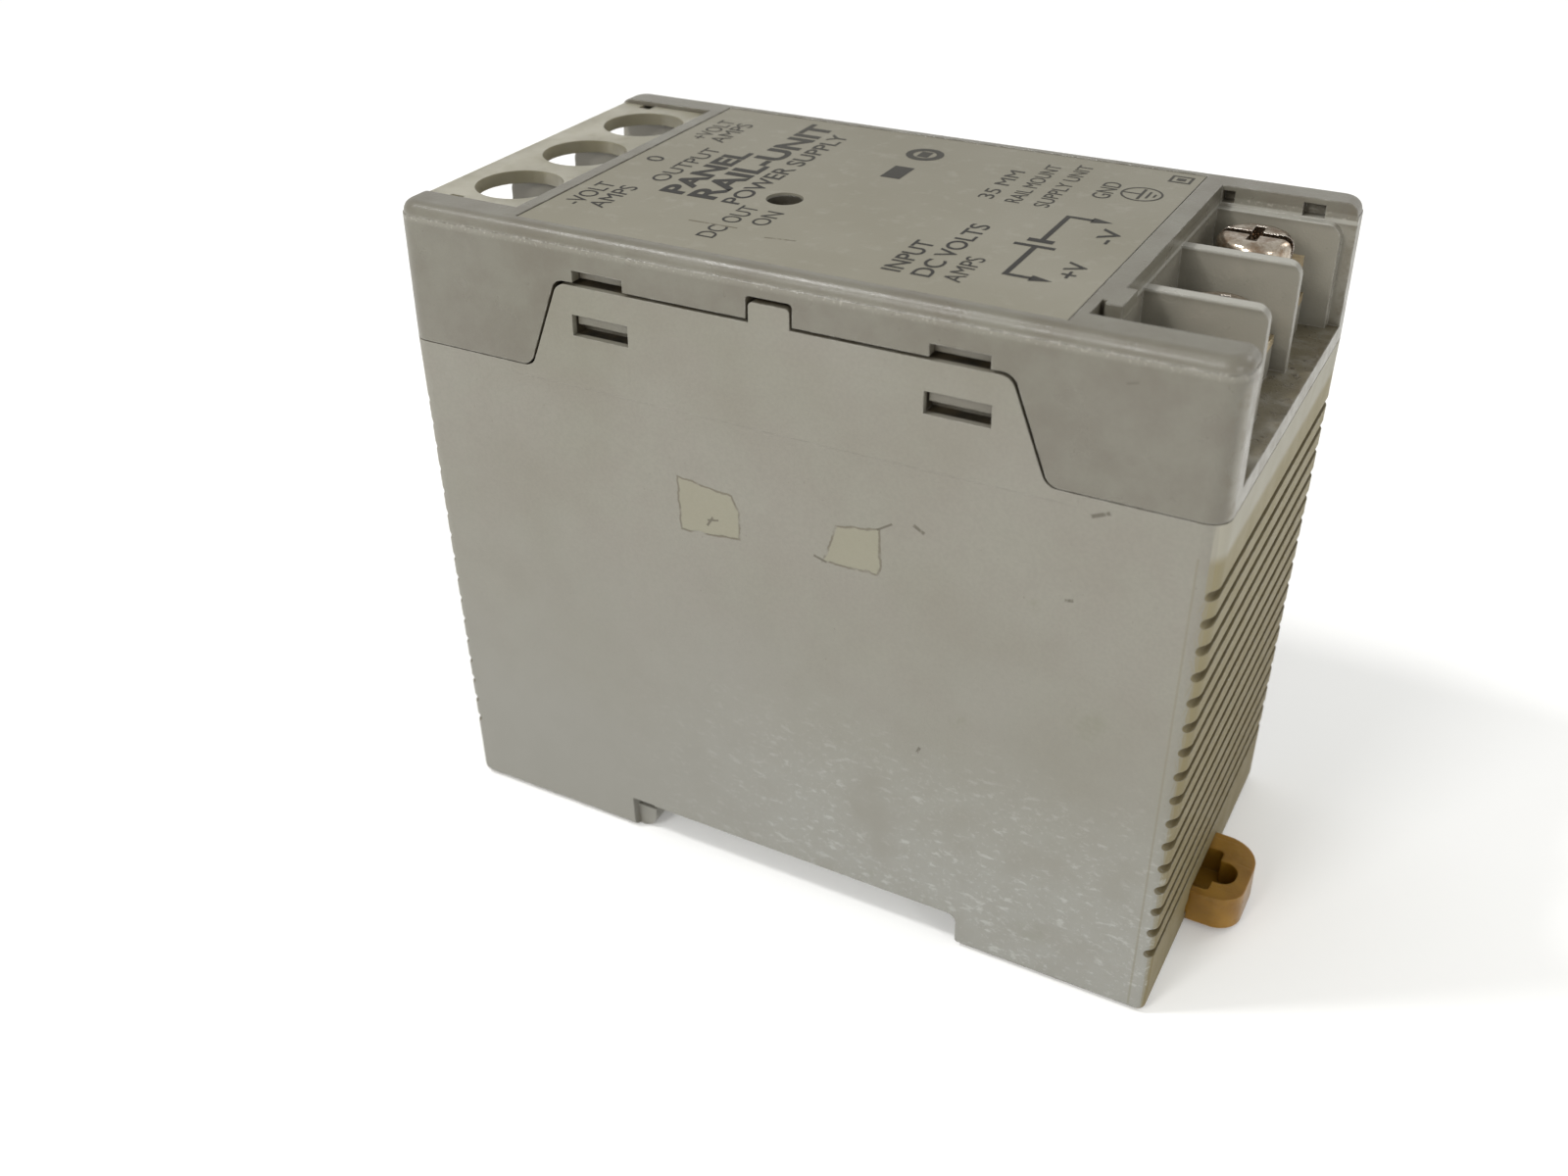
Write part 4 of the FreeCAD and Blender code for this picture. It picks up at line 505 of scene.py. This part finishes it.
def screw_metal():
    """Yellow plated steel with a thread on the shank."""
    shade = Shade("screw_brass")
    stain = shade.step(shade.noise(0.8, 4, rough=0.7), 0.35, 0.65)
    colour = shade.mix(stain, (0.52, 0.46, 0.38), (0.27, 0.195, 0.135))
    normal, edge = shade.edges(0.15)
    # painted glints: the edges are painted near white
    colour = shade.mix(shade.times(edge, 0.5), colour, (0.90, 0.86, 0.80))
    # painted shade in the corners, from ambient occlusion
    painted_corner_shade = shade.step(shade.shelter(1.0), 0.35, 0.9)
    colour = shade.mix(shade.times(painted_corner_shade, 0.7), colour, (0.06, 0.035, 0.015))
    thread = shade.math("SINE", shade.times(shade.z, 2 * math.pi / 0.6))
    shank = shade.step(shade.z, 53.2, 53.0)
    height = shade.math("MULTIPLY_ADD", shade.times(thread, shank), 0.12,
                        shade.times(shade.noise(1.6, 2), 0.03))
    shade.set(Base_Color=colour, Metallic=1.0, Roughness=shade.math("MULTIPLY_ADD", stain, 0.16, 0.14),
              Normal=shade.bump(height, 0.8, 1.0, normal))
    return shade.material


def lamp_resin():
    """Green tinted lamp that looks almost black when off."""
    shade = Shade("lamp_resin")
    tint = shade.step(shade.noise(0.9, 2), 0.3, 0.7)
    colour = shade.mix(tint, (0.006, 0.008, 0.005), (0.014, 0.017, 0.009))
    dust = shade.step(shade.noise(3.0, 3), 0.62, 0.75)
    colour = shade.mix(shade.times(dust, 0.2), colour, (0.16, 0.14, 0.10))
    shade.set(Base_Color=colour, Roughness=shade.math("MULTIPLY_ADD", dust, 0.3, 0.12),
              Specular_IOR_Level=0.15, Normal=shade.bump(shade.noise(2.0, 2), 0.2, 0.05))
    return shade.material


def laminate():
    """Green board with faint tracks under the mask and tinned pads."""
    shade = Shade("board_laminate")
    lanes = shade.cells(0.42, feature="DISTANCE_TO_EDGE")
    track = shade.step(lanes, 0.10, 0.16)
    colour = shade.mix(track, (0.012, 0.06, 0.022), (0.025, 0.115, 0.045))
    pads = shade.step(shade.cells(0.36), 0.17, 0.13)
    colour = shade.mix(pads, colour, (0.55, 0.54, 0.50))
    haze = shade.step(shade.noise(0.2, 3), 0.4, 0.7)
    colour = shade.mix(shade.times(haze, 0.25), colour, (0.18, 0.17, 0.10))
    normal, edge = shade.edges(0.08)
    colour = shade.mix(shade.times(edge, 0.6), colour, (0.36, 0.32, 0.16))
    shade.set(Base_Color=colour, Metallic=shade.times(pads, 0.9),
              Roughness=shade.math("MULTIPLY_ADD", haze, 0.3, 0.28),
              Normal=shade.bump(shade.math("ADD", track, pads), 0.5, 0.05, normal))
    return shade.material


def plain(name, base, other, rough, metallic=0.0, grain=3.0, depth=0.03, coat=0.0):
    """A simple finish: two tones, dust and painted shade in corners, pale edges that are partly wear and
    partly painted highlight, and a fine grain.
    """
    shade = Shade(name)
    tone = shade.step(shade.noise(0.4, 3), 0.3, 0.7)
    colour = shade.mix(tone, base, other)
    normal, edge = shade.edges(0.1)
    # edges lighter: partly wear, partly painted highlight
    colour = shade.mix(shade.times(edge, 0.3), colour, tuple(0.35 + 0.5 * c for c in base))
    # dust and painted shade in the corners
    colour = shade.mix(shade.times(shade.dust(1.2, 0.8), 0.45), colour, (0.16, 0.14, 0.10))
    shade.set(Base_Color=colour, Metallic=metallic, Coat_Weight=coat,
              Roughness=shade.math("MULTIPLY_ADD", tone, 0.14, rough),
              Normal=shade.bump(shade.noise(grain, 3), 0.6, depth, normal))
    return shade.material


def windings():
    """Rows of enamelled copper wire, side by side along the height."""
    shade = Shade("winding_copper")
    rows = shade.math("ABSOLUTE", shade.math("SINE", shade.times(shade.z, math.pi / 0.6)))
    tone = shade.step(shade.noise(0.5, 3), 0.3, 0.7)
    colour = shade.mix(tone, (0.46, 0.15, 0.035), (0.30, 0.085, 0.02))
    # painted shade: dark lines between the turns of wire
    colour = shade.mix(shade.step(rows, 0.35, 0.0), colour, (0.06, 0.015, 0.004))
    shade.set(Base_Color=colour, Metallic=0.6, Coat_Weight=0.4,
              Roughness=shade.math("MULTIPLY_ADD", tone, 0.15, 0.3), Normal=shade.bump(rows, 0.8, 0.15))
    return shade.material


FINISHES = {
    "case_plastic": case_plastic(),
    "cover_plastic": cover_plastic(),
    "latch_plastic": latch_plastic(),
    "clear_cover_plastic": milky_plastic(),
    "terminal_brass": plated("terminal_brass", (0.66, 0.56, 0.38), (0.42, 0.32, 0.18), 0.34),
    "washer_brass": plated("washer_brass", (0.74, 0.62, 0.42), (0.50, 0.36, 0.20), 0.28),
    "screw_brass": screw_metal(),
    "label_film": label_film(),
    "lamp_resin": lamp_resin(),
    "board_laminate": laminate(),
    "insulation_film": plain("insulation_film", (0.62, 0.58, 0.44), (0.52, 0.47, 0.33), 0.4),
    "black_plastic": plain("black_plastic", (0.020, 0.020, 0.021), (0.032, 0.031, 0.030), 0.42),
    "tinned_pins": plated("tinned_pins", (0.74, 0.73, 0.70), (0.50, 0.48, 0.44), 0.22),
    "ferrite": plain("ferrite", (0.050, 0.050, 0.056), (0.085, 0.083, 0.085), 0.55, 0.35, 5.0, 0.06),
    "winding_copper": windings(),
    "sink_aluminium": plated("sink_aluminium", (0.70, 0.71, 0.72), (0.52, 0.52, 0.52), 0.36, 0.6),
    "bolt_steel": plated("bolt_steel", (0.60, 0.59, 0.56), (0.38, 0.36, 0.33), 0.3),
    "capacitor_sleeve": plain("capacitor_sleeve", (0.012, 0.020, 0.060), (0.020, 0.030, 0.080), 0.22,
                              coat=0.4),
    "resistor_lacquer": plain("resistor_lacquer", (0.45, 0.30, 0.14), (0.36, 0.22, 0.09), 0.3, coat=0.3),
    "film_block": plain("film_block", (0.56, 0.30, 0.035), (0.44, 0.22, 0.02), 0.3, coat=0.3),
    "fuse_cap": plain("fuse_cap", (0.030, 0.030, 0.030), (0.045, 0.042, 0.040), 0.35),
}


def paint_frame():
    """Give every CAD node the finish of its own material slot."""
    for part in frame["record"]["subparts"]:
        node = frame["nodes"][part["node"]]
        node.data.materials.clear()
        node.data.materials.append(FINISHES[part["material_slot"]])


# ---- the print on the label --------------------------------------------------------

INK_LIFT = 0.02 * MM


def put_flat(work, vertices_to_place, centre_x, centre_y, long, high):
    """Scale a flat word to its size; it reads along +Y with its tops towards -X."""
    xs = [v.co.x for v in vertices_to_place]
    ys = [v.co.y for v in vertices_to_place]
    wide, tall = max(xs) - min(xs), max(ys) - min(ys)
    middle = Vector(((max(xs) + min(xs)) / 2, (max(ys) + min(ys)) / 2, 0))
    size = Matrix.Diagonal((long / wide, high / tall, 1, 1))
    turn = Matrix.Rotation(math.pi / 2, 4, "Z")
    place = Matrix.Translation((centre_x, centre_y, 0)) @ turn @ size @ Matrix.Translation(-middle)
    bmesh.ops.transform(work, matrix=place, verts=vertices_to_place)


def add_word(work, text, tops, feet, start, end, bold=0.0):
    """A word between two lines of X, from Y start to Y end."""
    letters = bpy.data.curves.new("letters", "FONT")
    letters.body = text
    letters.offset = bold
    carrier = bpy.data.objects.new("letters", letters)
    bpy.context.scene.collection.objects.link(carrier)
    bpy.context.view_layer.update()
    flat = bpy.data.meshes.new_from_object(carrier.evaluated_get(bpy.context.evaluated_depsgraph_get()))
    bpy.data.objects.remove(carrier)
    bpy.data.curves.remove(letters)
    before = len(work.verts)
    work.from_mesh(flat)
    bpy.data.meshes.remove(flat)
    work.verts.ensure_lookup_table()
    put_flat(work, work.verts[before:], (tops + feet) / 2, (start + end) / 2, end - start, feet - tops)


def add_shape(work, corners):
    work.faces.new([work.verts.new((x, y, 0)) for x, y in corners])


def add_bar(work, x0, x1, y0, y1):
    add_shape(work, [(x0, y0), (x1, y0), (x1, y1), (x0, y1)])


RING_SIDES = 48


def add_ring(work, x, y, outer, inner):
    turns = [2 * math.pi * i / RING_SIDES for i in range(RING_SIDES)]
    rim = [work.verts.new((x + outer * math.cos(a), y + outer * math.sin(a), 0)) for a in turns]
    eye = [work.verts.new((x + inner * math.cos(a), y + inner * math.sin(a), 0)) for a in turns]
    for i in range(RING_SIDES):
        j = (i + 1) % RING_SIDES
        work.faces.new((rim[i], rim[j], eye[j], eye[i]))


def print_piece(name, draw):
    """Turn one drawing in millimetres into a piece that lies on the label."""
    work = bmesh.new()
    draw(work)
    lifted = Matrix.Translation((0, 0, LABEL_TOP + INK_LIFT)) @ Matrix.Scale(MM, 4)
    bmesh.ops.transform(work, matrix=lifted, verts=work.verts)
    bmesh.ops.recalc_face_normals(work, faces=work.faces)
    for face in work.faces:
        if face.normal.z < 0:
            face.normal_flip()
    mesh = bpy.data.meshes.new(name)
    work.to_mesh(mesh)
    work.free()
    mesh.materials.append(INK)
    piece = bpy.data.objects.new(name, mesh)
    bpy.context.scene.collection.objects.link(piece)
    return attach(piece, "housing")


def draw_output_words(work):
    add_word(work, "-VOLT", -24.8, -23.0, -13.4, -7.2)
    add_word(work, "AMPS", -22.4, -20.7, -13.2, -7.2)
    add_word(work, "0", -24.8, -23.1, -0.1, 1.3)
    add_word(work, "+VOLT", -24.6, -22.9, 7.8, 14.2)
    add_word(work, "AMPS", -22.5, -20.8, 7.6, 14.0)
    add_word(work, "OUTPUT", -21.3, -19.6, -4.8, 5.7)


def draw_title(work):
    add_word(work, "PANEL", -18.8, -16.4, -7.1, 6.0, 0.035)
    add_word(work, "RAIL-UNIT", -15.9, -13.1, -7.1, 17.0, 0.03)
    add_word(work, "POWER SUPPLY", -12.4, -10.6, -7.2, 14.8, 0.01)


def draw_lamp_words(work):
    add_word(work, "DC", -10.1, -8.4, -15.3, -12.5)
    add_word(work, "OUT", -10.1, -8.4, -11.4, -7.1)
    add_word(work, "ON", -7.5, -5.9, -10.9, -7.4)


def draw_input_words(work):
    add_word(work, "INPUT", 6.7, 8.4, -15.2, -8.0, 0.01)
    add_word(work, "DC VOLTS", 9.2, 10.9, -15.2, -2.4, 0.01)
    add_word(work, "AMPS", 11.8, 13.4, -15.2, -9.6)
    add_word(work, "+V", 19.4, 21.1, -10.6, -7.1, 0.01)
    add_word(work, "-V", 19.4, 21.1, -2.2, 1.3, 0.01)
    add_word(work, "GND", 15.6, 17.2, 8.4, 13.0)


def draw_fine_words(work):
    add_word(work, "35 MM", 6.9, 8.3, 4.0, 12.2)
    add_word(work, "RAIL MOUNT", 9.4, 10.8, 4.0, 15.2)
    add_word(work, "SUPPLY UNIT", 12.0, 13.4, 4.0, 16.4)


def draw_supply_symbol(work):
    """A cell between two leads that turn towards the terminals."""
    lead = 0.23
    add_bar(work, 15.75 - lead, 15.75 + lead, -12.0, -5.4)
    add_bar(work, 13.9, 17.4, -5.4, -4.9)
    add_bar(work, 14.6, 16.8, -4.2, -3.45)
    add_bar(work, 15.75 - lead, 15.75 + lead, -3.45, 2.9)
    for y in (-11.8, 2.7):
        add_bar(work, 15.98, 17.9, y - lead, y + lead)
        add_shape(work, [(17.8, y - 0.62), (19.6, y), (17.8, y + 0.62)])


def draw_earth_symbol(work):
    add_ring(work, 19.45, 11.0, 1.85, 1.66)
    add_bar(work, 17.8, 19.3, 10.9, 11.1)
    add_bar(work, 19.3, 19.55, 9.6, 12.4)
    add_bar(work, 19.95, 20.15, 10.1, 11.9)
    add_bar(work, 20.5, 20.7, 10.6, 11.4)


def draw_plain_marks(work):
    """Plain shapes where approval marks would be: a disc, a block and a small frame."""
    add_ring(work, -1.95, 12.9, 1.8, 1.1)
    add_bar(work, -2.5, -1.4, 12.1, 13.7)
    add_bar(work, -3.0, -1.1, 5.3, 8.7)
    for x0, x1, y0, y1 in ((20.4, 20.65, 15.4, 17.3), (22.15, 22.4, 15.4, 17.3),
                           (20.65, 22.15, 15.4, 15.65), (20.65, 22.15, 17.05, 17.3),
                           (21.0, 21.8, 16.0, 16.7)):
        add_bar(work, x0, x1, y0, y1)


# ---- floor, light and camera -------------------------------------------------------

def lay_floor():
    mesh = bpy.data.meshes.new("floor")
    half = 3.0
    corners = [(-half, -half, 0), (half, -half, 0), (half, half, 0), (-half, half, 0)]
    mesh.from_pydata(corners, [], [(0, 1, 2, 3)])
    floor = bpy.data.objects.new("floor", mesh)
    floor.location.z = FLOOR_LEVEL
    bpy.context.scene.collection.objects.link(floor)
    shade = Shade("floor_paper")
    tone = shade.noise(0.004, 2)
    shade.set(Base_Color=shade.mix(tone, (0.94, 0.94, 0.93), (0.90, 0.90, 0.89)), Roughness=0.8,
              Specular_IOR_Level=0.1, Emission_Color=(1.0, 1.0, 0.99), Emission_Strength=0.14,
              Normal=shade.bump(shade.noise(0.6, 2), 0.2, 0.05))
    mesh.materials.append(shade.material)


HORIZON_STRENGTH = 0.86
ZENITH_STRENGTH = 0.60
CAMERA_PLACE = (56.33, -122.42, 106.02)
CAMERA_AZIMUTH = 29.18
CAMERA_ELEVATION = 30.2
CAMERA_ROLL = -0.81
CAMERA_LENS = 36.78
CAMERA_SHIFT = (0.0097, -0.0431)
FOCUS_DISTANCE = 138.0
APERTURE = 36.0


def soft_light(name, place, target, size, watts):
    lamp = bpy.data.lights.new(name, "AREA")
    lamp.shape = "DISK"
    lamp.size = size
    lamp.energy = watts
    holder = bpy.data.objects.new(name, lamp)
    holder.location = place
    holder.rotation_mode = "QUATERNION"
    holder.rotation_quaternion = (Vector(target) - Vector(place)).to_track_quat("-Z", "Y")
    bpy.context.scene.collection.objects.link(holder)


def light_studio():
    world = bpy.data.worlds.new("studio")
    world.use_nodes = True
    sky = world.node_tree
    height = sky.nodes.new("ShaderNodeSeparateXYZ")
    sky.links.new(sky.nodes.new("ShaderNodeTexCoord").outputs["Generated"], height.inputs[0])
    fade = sky.nodes.new("ShaderNodeMapRange")
    sky.links.new(height.outputs["Z"], fade.inputs["Value"])
    fade.inputs["To Min"].default_value = HORIZON_STRENGTH
    fade.inputs["To Max"].default_value = ZENITH_STRENGTH
    sky.nodes["Background"].inputs["Color"].default_value = (1.0, 1.0, 0.985, 1)
    sky.links.new(fade.outputs["Result"], sky.nodes["Background"].inputs["Strength"])
    bpy.context.scene.world = world
    soft_light("key", (-0.15, -0.60, 0.42), (0, 0, 0.02), 0.20, 1.6)
    soft_light("top", (-0.27, -0.20, 0.55), (0, 0, 0.05), 0.08, 1.5)
    soft_light("fill", (0.45, 0.55, 0.45), (0, 0, 0.03), 0.30, 0.7)
    soft_light("side", (0.55, -0.30, 0.22), (0, 0, 0.03), 0.12, 0.5)


def set_camera():
    """Front right and above, turned 29 degrees round the unit and looking 30 degrees down."""
    azimuth, elevation, roll = (math.radians(a) for a in (CAMERA_AZIMUTH, CAMERA_ELEVATION, CAMERA_ROLL))
    forward = Vector((-math.sin(azimuth) * math.cos(elevation), math.cos(azimuth) * math.cos(elevation),
                      -math.sin(elevation)))
    level = Vector((math.cos(azimuth), math.sin(azimuth), 0))
    upright = level.cross(forward)
    right = math.cos(roll) * level + math.sin(roll) * upright
    up = right.cross(forward)
    turn = Matrix((right, up, -forward)).transposed().to_4x4()
    lens = bpy.data.cameras.new("camera")
    lens.sensor_width = 36.0
    lens.lens = CAMERA_LENS
    lens.shift_x, lens.shift_y = CAMERA_SHIFT
    lens.clip_start = 0.005
    lens.dof.use_dof = True
    lens.dof.focus_distance = FOCUS_DISTANCE * MM
    lens.dof.aperture_fstop = APERTURE
    camera = bpy.data.objects.new("camera", lens)
    camera.matrix_world = Matrix.Translation(Vector(CAMERA_PLACE) * MM) @ turn
    bpy.context.scene.collection.objects.link(camera)
    bpy.context.scene.camera = camera
    bpy.context.scene.view_settings.view_transform = "Standard"


INK = label_ink()
paint_frame()
print_piece("print_output", draw_output_words)
print_piece("print_title", draw_title)
print_piece("print_lamp", draw_lamp_words)
print_piece("print_input", draw_input_words)
print_piece("print_fine", draw_fine_words)
print_piece("print_supply_symbol", draw_supply_symbol)
print_piece("print_earth_symbol", draw_earth_symbol)
print_piece("print_marks", draw_plain_marks)
lay_floor()
light_studio()
set_camera()
